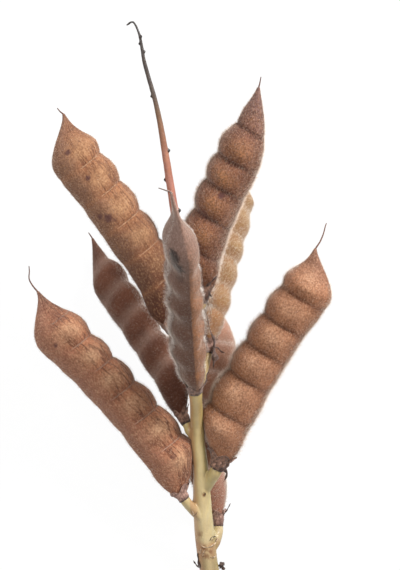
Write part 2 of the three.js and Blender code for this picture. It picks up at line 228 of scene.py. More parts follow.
def dry_skin(tree, stretch=USUAL_STRETCH):
    """The patterns at each point's own place."""
    inputs = {"Place": attribute(tree, "place", "Vector"), "Stretch": stretch}
    return node(tree, "ShaderNodeGroup", inputs, node_tree=skin_pattern).outputs


# %% [markdown]
# ## Pod skin
# A pod's colour follows its form: pale on the crown of each seed, darker in the grooves of some pods
# and paler in those of others, and different again towards the outer seam. The dark grooves are
# painted shade in the creases, and the pale ones are a painted highlight where the down in them
# catches the light. The meshes carry those as values at their points, so that the shader knows where
# it is: `groove` is 1 in a groove, `cell` is a whole number there, `crown` is 1 over a seed, `across`
# runs from the outer seam at -1 to the stem's side at 1, `face` from one flat side to the other, `tip`
# rises to 1 at the beak and `foot` at the neck, `spot` marks bruises, and `unrolled` is the place on
# the skin as if it lay flat. A group with these rules gives all eight pods a family likeness, and
# each has its own colours.

# %% Inputs of pod skin
SKIN_COLOURS = {
    "Middle": (160, 115, 85), "Crown": (190, 150, 115), "Dark": (105, 70, 55), "Groove": (110, 72, 55),
    "Spot": (70, 42, 44), "Outer": (115, 90, 75), "Other Face": (160, 115, 85), "Tip": (140, 108, 96),
    "Foot": (120, 80, 58), "Thread": (205, 160, 130),
}
SKIN_SHARES = {
    "Groove Share": 0.6, "Groove Power": 1.0, "Outer Share": 0.4, "Outer Edge": 0.0, "Crown Share": 0.8,
    "Tip Share": 0.5, "Foot Share": 0.3, "Face Share": 0.0, "Face Edge": 0.0, "Wrinkle Share": 0.0,
    "Thread Share": 0.0, "Speck Share": 0.45, "Fleck Share": 0.35,
}
pod_skin, skin_in, skin_out = group(
    "pod skin",
    [(label, "Color", srgb(*screen)) for label, screen in SKIN_COLOURS.items()]
    + [(label, "Float", share) for label, share in SKIN_SHARES.items()],
    [("Color", "Color"), ("Roughness", "Float"), ("Height", "Float")],
)
get = skin_in.outputs

# %% [markdown]
# The colour is built up in layers, from the broadest to the finest. First come the two faces, the
# blotches, the crowns, the outer side, the beak and the foot. On the front pod the two faces are
# painted light and shade, one lighter and orange as if lit, the other darker and grey as if in shade,
# and on the high left pod the foot is painted shade. Each layer's mask is weakened to the share that
# the material sets.

# %% Broad colours of pod skin
times, step, spread, mark = (partial(helper, pod_skin) for helper in (product, reckon, span, attribute))
pattern = dry_skin(pod_skin)
groove, across, crown = (mark(name) for name in ("groove", "across", "crown"))
blotch, speck, fleck = (pattern[name] for name in ("Blotch", "Speck", "Fleck"))
face = step("SUBTRACT", mark("face"), get["Face Edge"])
patchy = spread(blotch, 1.0, 0.0, 0.45, 1.0)
ragged = step("ADD", across, times(blotch, 0.35))
outer = spread(step("ADD", ragged, get["Outer Edge"]), 0.25, -0.6)
colour = layered(
    pod_skin,
    get["Middle"],
    # Painted light and shade on the front pod: one face lighter and orange, the other darker and grey.
    (times(get["Face Share"], spread(face, 0.05, -0.05)), get["Other Face"]),
    (times(blotch, 0.42), get["Dark"]),
    (times(get["Crown Share"], crown, patchy), get["Crown"]),
    (times(get["Outer Share"], outer), get["Outer"]),
    (times(get["Tip Share"], mark("tip")), get["Tip"]),
    # On the high left pod the dark foot is painted shade from the pods around it.
    (times(get["Foot Share"], mark("foot")), get["Foot"]),
)

# %% [markdown]
# Then come the grooves. On the two big pods at the left a thread of pale skin stands in each, and
# fine dark wrinkles run up to it from both sides. Noise makes such lines where it crosses its own
# middle value. Specks, flecks and bruises lie over all of it.

# %% Grooves, wrinkles and specks of pod skin
wide_groove = step("POWER", groove, get["Groove Power"])
lines = grain(pod_skin, mark("unrolled", "Vector"), 0.62, 2.0, (1, 1, 0.11))
off_line = step("ABSOLUTE", step("SUBTRACT", lines, 0.5))
wrinkled = times(spread(off_line, 0.05, 0.008), spread(ragged, -0.25, 0.2), spread(crown, 0.95, 0.4, 0.4, 1))
cell = mark("cell")
off_groove = step("ABSOLUTE", step("SUBTRACT", cell, step("ROUND", cell)))
thread = times(spread(off_groove, 0.022, 0.008), spread(ragged, -0.25, 0.05))
thread = times(thread, spread(across, 0.85, 0.6), spread(groove, 0.3, 0.6))
colour = layered(
    pod_skin,
    colour,
    # Groove colour: darker is painted shade in the creases, paler is a painted highlight on the down.
    (times(get["Groove Share"], spread(wide_groove, 0.1, 0.75)), get["Groove"]),
    (times(get["Wrinkle Share"], wrinkled), get["Dark"]),
    (times(get["Thread Share"], thread), get["Thread"]),
    (times(get["Speck Share"], speck), get["Dark"]),
    (times(get["Fleck Share"], fleck), get["Crown"]),
    (spread(mark("spot"), 0.1, 1.0, 0, 0.9), get["Spot"]),
)
raised = step("SUBTRACT", thread, times(wrinkled, get["Wrinkle Share"]))
height = step("ADD", pattern["Height"], times(raised, 0.5))
for label, result in (("Color", colour), ("Roughness", spread(speck, 0, 1, 0.72, 0.92)), ("Height", height)):
    pod_skin.links.new(result, skin_out.inputs[label])
print("pod skin:", len(pod_skin.nodes), "nodes")


# %% [markdown]
# ## Finishes of the pods
# Sheen is what makes velvet pale at its edges, and the down on these pods does the same. It is set on
# the shader itself, and the real hairs that come later stand in it.


# %% Materials of the pods
POD_BUMP = 0.00025


def pod_material(name, sheen, **look):
    """Pod skin with its own shares and its own colours, which are given as screens show them."""
    material, tree, shader = new_material(
        "pod skin " + name.replace("_", " "), Specular_IOR_Level=0.2, Sheen_Weight=sheen, Sheen_Roughness=0.4,
        Sheen_Tint=srgb(238, 226, 214),
    )
    rules = node(tree, "ShaderNodeGroup", node_tree=pod_skin)
    for label, value in look.items():
        value = srgb(*value) if isinstance(value, tuple) else value
        rules.inputs[label.replace("_", " ")].default_value = value
    colour, roughness, height = rules.outputs
    surface(tree, shader, colour, roughness, (height, POD_BUMP, 0.9))
    return material


POD_LOOKS = {
    "low_left": dict(
        sheen=0.4, Middle=(160, 102, 72), Crown=(206, 166, 130), Dark=(86, 48, 36), Outer=(142, 102, 84),
        Groove=(144, 96, 76), Tip=(132, 98, 84), Foot=(150, 100, 72), Thread=(206, 164, 140), Tip_Share=0.9,
        Groove_Share=0.3, Outer_Share=0.6, Wrinkle_Share=0.8, Thread_Share=0.6,
    ),
    # Its dark grooves are painted shade in the creases.
    "low_right": dict(
        sheen=0.5, Middle=(162, 110, 78), Crown=(200, 158, 126), Dark=(96, 58, 40), Outer=(156, 106, 78),
        Groove=(78, 44, 32), Tip=(130, 98, 84), Foot=(152, 106, 78), Outer_Share=0.35, Tip_Share=0.9,
        Speck_Share=0.6,
    ),
    # Its dark foot is painted shade from the pods around it.
    "high_left": dict(
        sheen=0.35, Middle=(146, 98, 68), Crown=(184, 142, 104), Dark=(86, 50, 34), Outer=(122, 90, 72),
        Groove=(154, 102, 68), Tip=(122, 92, 80), Foot=(66, 34, 22), Thread=(206, 164, 130), Crown_Share=1.0,
        Groove_Share=0.35, Outer_Share=0.85, Foot_Share=1.0, Wrinkle_Share=0.65, Thread_Share=0.5,
        Tip_Share=0.6,
    ),
    # Its dark grooves are painted shade in the creases.
    "high_right": dict(
        sheen=0.5, Middle=(120, 76, 56), Crown=(164, 114, 76), Dark=(62, 38, 32), Outer=(136, 104, 86),
        Groove=(78, 50, 42), Tip=(116, 92, 88), Foot=(124, 80, 56), Groove_Share=0.85, Outer_Share=0.6,
        Outer_Edge=0.5, Crown_Share=1.0, Tip_Share=0.85, Foot_Share=0.5, Speck_Share=0.65,
    ),
    # Its pale grooves are a painted highlight on the down in them.
    "mid_left": dict(
        sheen=0.25, Middle=(94, 56, 38), Crown=(108, 70, 54), Dark=(48, 26, 20), Outer=(106, 76, 62),
        Groove=(156, 128, 114), Tip=(122, 92, 80), Foot=(70, 38, 26), Groove_Share=0.4, Groove_Power=0.5,
        Crown_Share=0.6, Foot_Share=0.6, Speck_Share=0.25, Fleck_Share=0.2,
    ),
    # Its pale grooves are a painted highlight on the down in them.
    "pale": dict(
        sheen=0.55, Middle=(142, 110, 78), Crown=(156, 130, 90), Dark=(128, 82, 54), Outer=(152, 130, 110),
        Groove=(158, 140, 122), Tip=(160, 140, 122), Foot=(168, 116, 78), Groove_Share=0.3, Outer_Share=0.3,
        Foot_Share=0.8, Speck_Share=0.3, Fleck_Share=0.6,
    ),
    # Its pale grooves are a painted highlight on the down in them.
    "under": dict(
        sheen=0.55, Middle=(176, 130, 108), Crown=(192, 148, 124), Dark=(130, 88, 70), Outer=(190, 152, 134),
        Groove=(214, 192, 178), Tip=(170, 136, 120), Foot=(134, 88, 70), Groove_Share=0.7, Foot_Share=0.9,
        Speck_Share=0.4,
    ),
    # Its faces carry painted light and shade: Other Face is the lit one, Middle the shaded one.
    "front": dict(
        sheen=0.55, Middle=(100, 70, 56), Crown=(120, 88, 74), Dark=(70, 48, 40), Other_Face=(160, 106, 68),
        Outer=(150, 124, 104), Groove=(124, 100, 88), Tip=(132, 108, 98), Foot=(124, 88, 66),
        Spot=(26, 20, 20), Face_Share=0.95, Face_Edge=0.12, Groove_Share=0.0, Outer_Share=0.0,
        Crown_Share=0.5, Tip_Share=0.9,
    ),
}
pod_finishes = {name: pod_material(name, **look) for name, look in POD_LOOKS.items()}
print("pod finishes:", len(pod_finishes))

# %% [markdown]
# ## The form of a pod
# A pod is a flat tube that rises from its neck, runs straight over the seeds and falls to a beak.
# Each of those is a formula over the distance from the neck, so that any number of rings can follow
# it. The numbers are those of the plain model, but for a millimetre here and there, so the fine skin
# lies where that one is.

# %% Eight pods
POD_DEFAULTS = dict(
    size=1, width=16.8, thickness=11.8, neck_radius=1.35, neck_length=17, beak_length=16, neck_offset=6.6,
    beak_offset=4, bow=0, cone=0.2, taper=0, lean=1.2, flatness=0.72, foot_swell=0, margin=0.3, seam=0.2,
    softness=0.35, rings=170, crumple=0.25, calyx_below=3, crown_at=[0.15, 0.5], seen_face=-1,
    tip_length=12, foot_length=26, slot="pod_brown", hair="brown", hairs=18000, hair_length=1.1,
    hair_radius=0.035, hairs_at="seams", extra_hairs=3, extra_length=0.35, shade=0,
)
PODS = [
    dict(
        name="low_left", base=[-6.2, -70.9, 17.5], beak=[-53.9, -2.2, 28], to_stem=[0.8, 0.58, -0.15],
        style=[[-55.5, -0.2, 28.4], [-56.6, 2, 28.8], [-56.5, 4.6, 29.2], [-56.6, 6.3, 29.5]],
        width=16.6, neck_offset=6.8, neck_length=13, bow=0.9, foot_swell=1, relief=0.16, reach=0, lean=0,
        grooves=[17.1, 29.9, 41, 52, 62.5], stalk_radius=1.75, calyx_top=2.4, calyx_below=1.8, turn=0.4,
        tip_length=15, hairs=13000, hair_length=0.8, hair_radius=0.025,
    ),
    dict(
        name="low_right", base=[6.8, -59.1, 20.5], beak=[37.8, 11.9, 37], to_stem=[-0.9, 0.36, -0.25],
        style=[[39.2, 14.1, 37.2], [40.3, 16.7, 37.4], [41, 19.4, 37.6], [41.3, 20.2, 37.7]],
        neck_offset=6.3, neck_length=14, neck_radius=2.2, beak_offset=4.6, beak_length=13, bow=0.9,
        foot_swell=0.8, relief=0.34, reach=-0.42, lean=0.8, cone=0.35, grooves=[17, 30.4, 41.6, 52.5, 63.5],
        stalk_radius=2.1, calyx_top=2.8, turn=1.6, crumple=0.8, extra_hairs=5, extra_length=0.6,
        crown_at=[-0.1, 0.7], seen_face=1,
    ),
    dict(
        name="high_left", base=[-10.5, -13.1, 34], beak=[-44.1, 55.1, 45], to_stem=[0.88, 0.43, -0.2],
        style=[[-45, 55.8, 45.3], [-46, 57, 45.6]],
        width=16.2, neck_offset=6.5, beak_offset=4.3, beak_length=13, bow=0.7, foot_swell=-0.6, relief=0.16,
        reach=0, lean=1.3, grooves=[15.5, 26.9, 38.2, 49.6, 60.6], stalk_radius=1.4, calyx_top=2.2, turn=2.2,
        # Its hairs are painted darker at the foot as well: painted shade from the pods around it.
        foot_length=50, hairs=14000, hair_length=0.8, hair_radius=0.025, shade=1,
    ),
    dict(
        name="high_right", base=[1.8, -1.4, 38.6], beak=[18.8, 63.2, 49.6], to_stem=[-0.95, 0.2, -0.35],
        style=[[19.2, 64.9, 49.9], [19.5, 66.6, 50.2]],
        width=14.9, neck_length=15, beak_length=21, beak_offset=3.3, bow=1.6, cone=0.7, relief=0.4,
        reach=-0.42, lean=1.8, margin=1, softness=0.3, grooves=[13.5, 25, 35.1, 44.4, 55.2],
        stalk_radius=1.4, calyx_top=2, calyx_below=4.5, turn=0.9, tip_length=20, crown_at=[-0.1, 0.45],
        seen_face=1,
    ),
    dict(
        name="mid_left", base=[-5.9, -44.2, 17], beak=[-37.1, 16, 3.2], to_stem=[0.68, 0.36, 0.6],
        style=[[-37.8, 17.1, 3.1], [-38.5, 18.1, 3.2]],
        size=0.87, width=13.6, thickness=11, bow=0.2, relief=0.24, reach=-0.6, lean=2, cone=0.4, rings=130,
        grooves=[18.9, 29.3, 39.9, 50.1, 60.3], stalk_radius=1.5, calyx_top=1.8, turn=3, hair="dusky",
        hairs=13000, hair_length=0.8, hair_radius=0.03, extra_hairs=2, extra_length=0.5,
    ),
    dict(
        name="pale", base=[3.2, -20.2, 17.5], beak=[15.2, 41.4, 2.6], to_stem=[-0.35, 0.1, 0.93],
        style=[[15.4, 42.5, 2.4], [15.5, 43.5, 2.4]],
        size=0.8, width=13.2, thickness=10.6, softness=0.8, relief=0.22, reach=-0.8, rings=130,
        grooves=[11.5, 20.8, 30.6, 39.4, 50], stalk_radius=1.4, calyx_top=2, turn=1.2, slot="pod_straw",
        hair="white",
    ),
    dict(
        name="under", base=[6.2, -79.9, 4.2], beak=[4.5, -3.4, 7.8], to_stem=[-0.866, 0, 0.5],
        style=[[4.4, -2.4, 7.9], [4.4, -1.4, 8]],
        size=0.9, width=13.6, thickness=10.4, relief=0.22, reach=-0.7, beak_length=20, neck_length=19,
        grooves=[19, 30, 41, 51.5, 61.5], stalk_radius=1.7, calyx_top=2, turn=0.2, foot_length=42, rings=130,
        hair="white",
    ),
    dict(
        name="front", base=[-1.6, -34.8, 34.4], beak=[-8.7, 27.9, 80.4], to_stem=[-0.24, 0, -1],
        style=[[-10.2, 28.6, 81], [-12.6, 29.4, 81.4]],
        thickness=10.8, neck_offset=5.2, neck_length=14, neck_radius=1.8, beak_offset=5.6, beak_length=15.5,
        taper=0.16, softness=1, relief=0.24, reach=-1, flatness=0.54, seam=0.1,
        grooves=[12.5, 23, 34.5, 45, 55.5], stalk_radius=2.25, calyx_top=3.6, calyx_below=0.3, turn=0.7,
        tip_length=36, slot="pod_grey", hair="grey", hairs=14000, hair_length=1.3, hairs_at="faces",
        seen_face=1,
    ),
]
pods = [SimpleNamespace(**{**POD_DEFAULTS, **entry}) for entry in PODS]
for pod in pods:
    pod.length = float(np.linalg.norm(np.subtract(pod.beak, pod.base)))
    pod.axis = np.subtract(pod.beak, pod.base) / pod.length
print("pods:", [(pod.name, round(pod.length)) for pod in pods])


# %% [markdown]
# ## Formulas
# `rise` goes from 0 at the neck to 1 where the body is full, `fall` from 1 to 0 over the beak. The
# width, the thickness and the middle line all follow from the two. The groove's own curve mixes two:
# one is round over a seed and sharp between two, as where two balloons touch, and the other is an
# even wave.

# %% The outline of a pod
BEAK_RADIUS = 0.42


def smooth(x):
    x = np.clip(x, 0, 1)
    return x * x * (3 - 2 * x)


def mix(a, b, share):
    return a + (b - a) * share


def rise(pod, s):
    return np.sin(math.pi / 2 * np.clip(s / (pod.neck_length * pod.size), 0, 1)) ** 0.9


def fall(pod, s):
    x = np.clip((pod.length - s) / (pod.beak_length * pod.size), 0, 1)
    return mix(smooth(x), np.sin(math.pi / 2 * x), pod.cone)


def fullness(pod, s):
    return rise(pod, s) * fall(pod, s)


def half_width(pod, s):
    return mix(BEAK_RADIUS, mix(pod.neck_radius, pod.width / 2, rise(pod, s)), fall(pod, s))


def half_thickness(pod, s):
    beak = pod.beak_length * pod.size
    body = pod.thickness / 2 * (1 - pod.taper * smooth(2 * s / pod.length - 1))
    swell = smooth(s / (1.06 * pod.neck_length * pod.size))
    ends = mix(smooth((pod.length - s - 0.36 * beak) / (0.56 * beak)), fall(pod, s), pod.cone)
    return mix(BEAK_RADIUS, mix(pod.neck_radius, body, swell), ends)


def middle_line(pod, s):
    neck, beak = pod.neck_offset * pod.size, pod.beak_offset * pod.size
    line = mix(neck, -beak, s / pod.length) + pod.bow * np.sin(math.pi * s / pod.length)
    return line - neck * (1 - rise(pod, s)) ** 0.6 + beak * (1 - fall(pod, s)) ** 2


def seed_cell(pod, s):
    """Counts the grooves up the pod: a whole number in each, and a half over each seed."""
    g = pod.grooves
    stops = [2 * g[0] - g[1], *g, 2 * g[-1] - g[-2]]
    return np.interp(s, stops, np.arange(-1, len(g) + 1))


def groove_depth(pod, s, roundness=0.0):
    """0 over a seed and 1 in a groove. Without roundness only the crease itself counts."""
    cell = seed_cell(pod, s)
    off = np.abs(2 * (cell - np.floor(cell)) - 1)
    depth = mix(1 - np.sqrt(1 - off**2.6), (1 - np.cos(math.pi * off)) / 2, roundness)
    return np.where((cell < -0.5) | (cell > len(pod.grooves) - 0.5), 0, depth)


# %% [markdown]
# ## Small relief
# The formulas alone would look turned on a lathe. Soft noise moves the skin by a tenth of a
# millimetre or two, the outer edge swells a little before the beak, a shallow channel runs beside
# it, and the two seams stand up as a double cord. All of it is in the mesh, because the light across
# a pod shows every dent.

# %% The surface of a pod
INNER_NOTCH = 1.7
OUTER_NOTCH = 0.3
NOTCH_ROUNDNESS = 0.4
BEAK_SWELL = 0.8
BEAK_SWELL_LENGTH = 7
FOOT_SWELL_LENGTH = 9
LENS_POWER = 2.3


def wander(points, size, seed=0):
    """Smooth noise of about -1 to 1 at each point, with features of that size."""
    offset = Vector((7.3 * seed, 3.1 * seed, 5.7 * seed))
    return np.array([noise.noise(Vector(p) / size + offset) for p in points])


def bell(x, width):
    """1 where x is 0, falling to 0 on both sides of it."""
    return np.exp(-((x / width) ** 2))


def pod_points(pod, s, angle, grow=0.0):
    """Points of the smooth skin in the pod's own frame: x towards the stem, y to its side, z along it."""
    v = np.cos(angle)
    notch = np.where(v > 0, INNER_NOTCH, OUTER_NOTCH) * groove_depth(pod, s, NOTCH_ROUNDNESS)
    beak_swell = BEAK_SWELL * bell(s - pod.length + 1.15 * pod.beak_length, BEAK_SWELL_LENGTH)
    foot_swell = pod.foot_swell * bell(s - 1.25 * pod.neck_length, FOOT_SWELL_LENGTH)
    swell = (beak_swell + foot_swell) * smooth(-2 * v)
    across = middle_line(pod, s) + (half_width(pod, s) + swell - notch) * v
    dent = pod.relief * groove_depth(pod, s, pod.softness) * smooth((v - pod.reach + 0.5) / 0.5)
    lens = (1 - np.abs(v) ** LENS_POWER) ** pod.flatness
    thick = half_thickness(pod, s) * (1.02 - dent) * lens
    lean = pod.lean * fullness(pod, s)
    side = np.sign(np.round(np.sin(angle), 6))
    points = [across + grow * v, side * (thick + grow * np.abs(np.sin(angle))), s + lean * (v - 1)]
    return np.stack(points, axis=-1)


def relief(pod, s, angle, points, seed):
    """How far each point of the skin stands out from the smooth form."""
    v = np.cos(angle)
    soft = 0.2 * wander(points, 4.5, seed) + 0.1 * wander(points, 1.7, seed + 1)
    off_edge = 1 - np.abs(v)
    seam = pod.seam * (bell(off_edge, 0.02) - 0.4 * bell(off_edge, 0.002))
    channel = 0.35 * pod.margin * bell(v + 0.86, 0.06)
    return fullness(pod, s) * (soft + seam - channel)


# %% [markdown]
# ## Meshes
# A pod, a stalk and a withered petal are all rings of points joined by quads. One function closes
# such a stack of rings, and another makes the mesh and hangs the named values on its points.


# %% Rings and meshes
def ring_faces(rings, sides):
    """Quads between rings that follow each other, and a fan at either end."""
    faces = []
    for i in range(rings - 1):
        for j in range(sides):
            a, b = i * sides + j, i * sides + (j + 1) % sides
            faces.append((a, b, b + sides, a + sides))
    first, last, top = rings * sides, rings * sides + 1, (rings - 1) * sides
    for j in range(sides):
        after = (j + 1) % sides
        faces.append((first, after, j))
        faces.append((last, top + j, top + after))
    return faces


def loft(rings):
    """The points and faces of a closed skin through rings, with a middle point for each end."""
    rings = np.asarray(rings, float)
    ends = np.array([rings[0].mean(0), rings[-1].mean(0)])
    points = np.concatenate([rings.reshape(-1, 3), ends])
    return points, ring_faces(len(rings), rings.shape[1])


def joined(parts):
    """Several closed skins as one list of points and one of faces."""
    points, faces = [], []
    for part_points, part_faces in parts:
        start = sum(len(p) for p in points)
        points.append(np.asarray(part_points))
        faces += [tuple(start + k for k in face) for face in part_faces]
    return np.concatenate(points), faces


def read(items, key, width=3, kind=float):
    """What every point or face of a mesh holds under that name, as one row for each."""
    values = np.empty(width * len(items), kind)
    items.foreach_get(key, values)
    return values.reshape(-1, width)


def new_object(name, points, faces, material, values=None):
    """A smooth-shaded mesh object from points in millimetres. values holds what its shader reads."""
    mesh = bpy.data.meshes.new(name)
    mesh.from_pydata(placed(points).tolist(), [], faces)
    for label, data in (values or {}).items():
        data = np.asarray(data, np.float32)
        kind, key = ("FLOAT_VECTOR", "vector") if data.ndim == 2 else ("FLOAT", "value")
        mesh.attributes.new(label, kind, "POINT").data.foreach_set(key, data.ravel())
    mesh.materials.append(material)
    mesh.shade_smooth()
    made = bpy.data.objects.new(name, mesh)
    bpy.context.scene.collection.objects.link(made)
    return made


def dress(piece, nodes):
    """The piece rides on the stalk and stands for those nodes, which are hidden."""
    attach(piece, "root")
    if nodes:
        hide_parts(*nodes)
    return piece


# %% [markdown]
# ## Tubes
# Stems, dried styles and curled scraps are tubes along a route. The route is a curve that passes
# through every stop, and the ring at each step is carried along without twisting.


# %% Tubes along a route
def route(stops, steps):
    """Points, evenly spaced, and radii along a smooth curve through stops of x, y, z and radius."""
    stops = np.asarray(stops, float)
    padded = np.concatenate([[2 * stops[0] - stops[1]], stops, [2 * stops[-1] - stops[-2]]])
    knots = np.cumsum(np.concatenate([[0], np.linalg.norm(np.diff(padded[:, :3], axis=0), axis=1) ** 0.5]))
    fine = []
    for i in range(1, len(padded) - 2):
        t0, t1, t2, t3 = knots[i - 1 : i + 3]
        for t in np.linspace(t1, t2, 24, endpoint=False):
            share = (t - t1) / (t2 - t1)
            a1 = mix(padded[i - 1], padded[i], (t - t0) / (t1 - t0))
            a2 = mix(padded[i], padded[i + 1], share)
            a3 = mix(padded[i + 1], padded[i + 2], (t - t2) / (t3 - t2))
            b1, b2 = mix(a1, a2, (t - t0) / (t2 - t0)), mix(a2, a3, (t - t1) / (t3 - t1))
            fine.append(np.append(mix(b1, b2, share)[:3], a2[3]))
    fine = np.array([*fine, stops[-1]])
    run = np.concatenate([[0], np.cumsum(np.linalg.norm(np.diff(fine[:, :3], axis=0), axis=1))])
    even = np.linspace(0, run[-1], steps + 1)
    return np.stack([np.interp(even, run, fine[:, k]) for k in range(4)], axis=1)


def sweep(path, section):
    """Rings along a path. section(share) gives a ring's points as two columns, in radii."""
    centres, radii = path[:, :3], path[:, 3]
    tangents = np.gradient(centres, axis=0)
    tangents /= np.linalg.norm(tangents, axis=1)[:, None]
    normal = np.cross(tangents[0], [0, 0, 1.0] if abs(tangents[0][2]) < 0.9 else [1.0, 0, 0])
    rings = []
    for i, (centre, tangent) in enumerate(zip(centres, tangents)):
        normal = normal - tangent * (normal @ tangent)
        normal /= np.linalg.norm(normal)
        outline = section(i / (len(centres) - 1)) * radii[i]
        rings.append(centre + outline[:, :1] * normal + outline[:, 1:] * np.cross(tangent, normal))
    return rings


def angles(sides):
    """The angles of a ring's points."""
    return 2 * math.pi * np.arange(sides) / sides


def tube(stops, sides, steps):
    ring = np.stack([np.cos(angles(sides)), np.sin(angles(sides))], axis=1)
    return loft(sweep(route(stops, steps), lambda share: ring))


# %% [markdown]
# ## Build the pods
# A pod is worked out in its own frame and then stood in place: z runs from the neck to the beak, and
# x points at the stem. Bruises are given in that frame too: by x and z on the seen face, with a radius
# and a strength.

# %% Where a pod stands
SPOTS = {
    "low_left": [
        [-5.9, 66.8, 0.6, 0.8], [4.7, 13.4, 0.8, 0.55], [5.4, 16.2, 0.7, 0.5], [3.9, 10.8, 0.6, 0.5],
        [0.4, 73.4, 2.2, 0.42], [-2.6, 72.4, 1.6, 0.4], [6.8, 40.5, 0.9, 0.45],
    ],
    "high_left": [
        [-5.4, 65.1, 0.9, 0.85], [-3.1, 55.1, 0.7, 0.85], [-3.1, 40.7, 1.2, 0.8], [-4.6, 42.4, 0.9, 0.7],
        [-1.6, 39.8, 0.6, 0.6], [-6, 52, 0.5, 0.5],
    ],
    "high_right": [[1.4, 31.5, 0.8, 0.8], [5.2, 24, 1.4, 0.5], [5, 14, 1.4, 0.6]],
    "front": [[-8.6, 61, 2, 1], [-8.5, 57.4, 2.2, 1], [-8.2, 52.5, 1.7, 0.5]],
}


def pod_matrix(pod):
    axis = (Vector(pod.beak) - Vector(pod.base)).normalized()
    to_stem = Vector(pod.to_stem)
    to_stem = (to_stem - axis * to_stem.dot(axis)).normalized()
    side = axis.cross(to_stem)
    matrix = Matrix((to_stem, side, axis)).transposed().to_4x4()
    matrix.translation = Vector(pod.base)
    return np.array(matrix)


def stand(pod, points):
    """Takes points from the pod's own frame to where the pod stands."""
    matrix = pod_matrix(pod)
    return np.asarray(points) @ matrix[:3, :3].T + matrix[:3, 3]


def in_pod(pod, points):
    """Takes points from where the pod stands to the pod's own frame."""
    matrix = pod_matrix(pod)
    return (np.asarray(points) - matrix[:3, 3]) @ matrix[:3, :3]


def spot_mask(pod, points):
    """1 inside each bruise that the pod has, with a ragged edge."""
    mask = np.zeros(len(points))
    seen = points[:, 1] * pod.seen_face > 0
    for x, s, radius, strength in SPOTS.get(pod.name, []):
        flat = np.hypot(points[:, 0] - x, points[:, 2] - s)
        centre = points[np.argmin(np.where(seen, flat, np.inf))]
        away = np.linalg.norm(points - centre, axis=1) / radius
        mask = np.maximum(mask, strength * seen * smooth((2 - away + 0.7 * wander(points, 0.9, 9)) / 1.4))
    return mask


# %% [markdown]
# Each skin is 130 or 170 rings of 72 points, pushed out by its relief. The dried style that is left
# of the flower stands on its beak.

# %% Pods
POD_SIDES = 72
CROWN_REACH = 0.55
CROWN_LENGTH = 0.33
STYLE_RADIUS = 0.15
STYLE_ROOT = 3
STYLE_TAPER = 2.1
STYLE_SIDES, STYLE_STEPS = 8, 30
NOISE_APART = 40.0


def pod_marks(pod, s, v, local):
    """What the shader reads at the skin's points, and what each value is on the style."""
    cell = seed_cell(pod, s)
    crown_v, crown_cell = pod.crown_at
    crown = (1 - groove_depth(pod, s)) * bell(v - crown_v, CROWN_REACH)
    crown = crown * bell(cell - np.floor(cell) - crown_cell, CROWN_LENGTH)
    return {
        "groove": (groove_depth(pod, s), 0.0),
        "cell": (cell, -0.5),
        "crown": (crown * fullness(pod, s), 0.0),
        "across": (v, 0.0),
        # On the front pod the shader paints one face lit and the other in shade by this value.
        "face": (local[:, 1] / (pod.thickness / 2), 0.0),
        "tip": (smooth(1 - (pod.length - s) / pod.tip_length), 1.0),
        # On the high left pod the shader paints shade at the foot by this value.
        "foot": (smooth(1 - s / pod.foot_length), 0.0),
        "spot": (spot_mask(pod, local), 0.5),
    }


def make_pod(pod, seed):
    s, angle = np.meshgrid(pod.length * np.linspace(0, 1, pod.rings), angles(POD_SIDES), indexing="ij")
    s, angle = s.ravel(), angle.ravel()
    v = np.cos(angle)
    local = pod_points(pod, s, angle)
    out = relief(pod, s, angle, local, seed)
    local[:, :2] += np.stack([v, np.sin(angle)], axis=1) * out[:, None]
    skin = loft(stand(pod, local).reshape(pod.rings, POD_SIDES, 3))
    style_stops = [np.subtract(pod.beak, STYLE_ROOT * pod.axis), pod.beak, *pod.style]
    radii = np.linspace(STYLE_TAPER, 1, len(style_stops)) * STYLE_RADIUS
    style = tube([[*stop, radius] for stop, radius in zip(style_stops, radii)], STYLE_SIDES, STYLE_STEPS)
    points, faces = joined([skin, style])
    points[:, 2] = np.maximum(points[:, 2], 0)
    more = len(points) - len(s)
    marks = pod_marks(pod, s, v, local).items()
    values = {name: np.concatenate([data, np.full(more, on_style)]) for name, (data, on_style) in marks}
    values["place"] = np.concatenate([local, points[len(s) :]]) + NOISE_APART * seed
    side = np.sign(np.round(np.sin(angle), 6))
    unrolled = np.stack([pod.width / 2 * v, 9 * np.floor(seed_cell(pod, s)) + 4 * side, s], axis=1)
    values["unrolled"] = np.concatenate([unrolled, np.zeros((more, 3))])
    return new_object("skin_" + pod.name, points, faces, pod_finishes[pod.name], values)


skins = {}
for seed, pod in enumerate(pods):
    skins[pod.name] = make_pod(pod, seed)
    dress(skins[pod.name], ["pod_" + pod.name])
print("points in a pod's skin:", len(skins["front"].data.vertices))

# %% [markdown]
# ## Hairs
# Lupin pods are covered with soft hairs that lie towards the tip and stand away a little. Particle
# hair would be lost when the model is exported, so each hair is a thin closed spike of four
# triangles. It is pale at its tip and dark over a bruise. Where the pod shows its edge to the camera
# it is painted paler still, as a painted rim light, and at the foot of the high left pod it is
# painted darker, as painted shade.


# %% Hair finishes
def hair_material(name, root, middle, tip):
    """A hair has the skin's own colour at its root and gets paler to its tip and at the pod's edges."""
    material, tree, shader = new_material(name + " hairs", Specular_IOR_Level=0.3)
    along_hair = attribute(tree, "along")
    mottle = grain(tree, attribute(tree, "place", "Vector"), 0.4, 2.0)
    colour = layered(
        tree,
        root,
        (span(tree, along_hair, 0.0, 0.45), middle),
        (span(tree, along_hair, 0.35, 1.0), tip),
        (span(tree, mottle, 0.35, 0.7, 0, 0.35), root),
        # Paler hairs where the pod shows its edge to the camera: a painted rim light.
        (product(tree, attribute(tree, "edge"), 0.75), tip),
        # Darker hairs: painted shade at the foot of the high left pod, and the bruises' own colour.
        (attribute(tree, "shade"), srgb(84, 50, 34)),
    )
    surface(tree, shader, colour, span(tree, mottle, 0, 1, 0.45, 0.7))
    return material


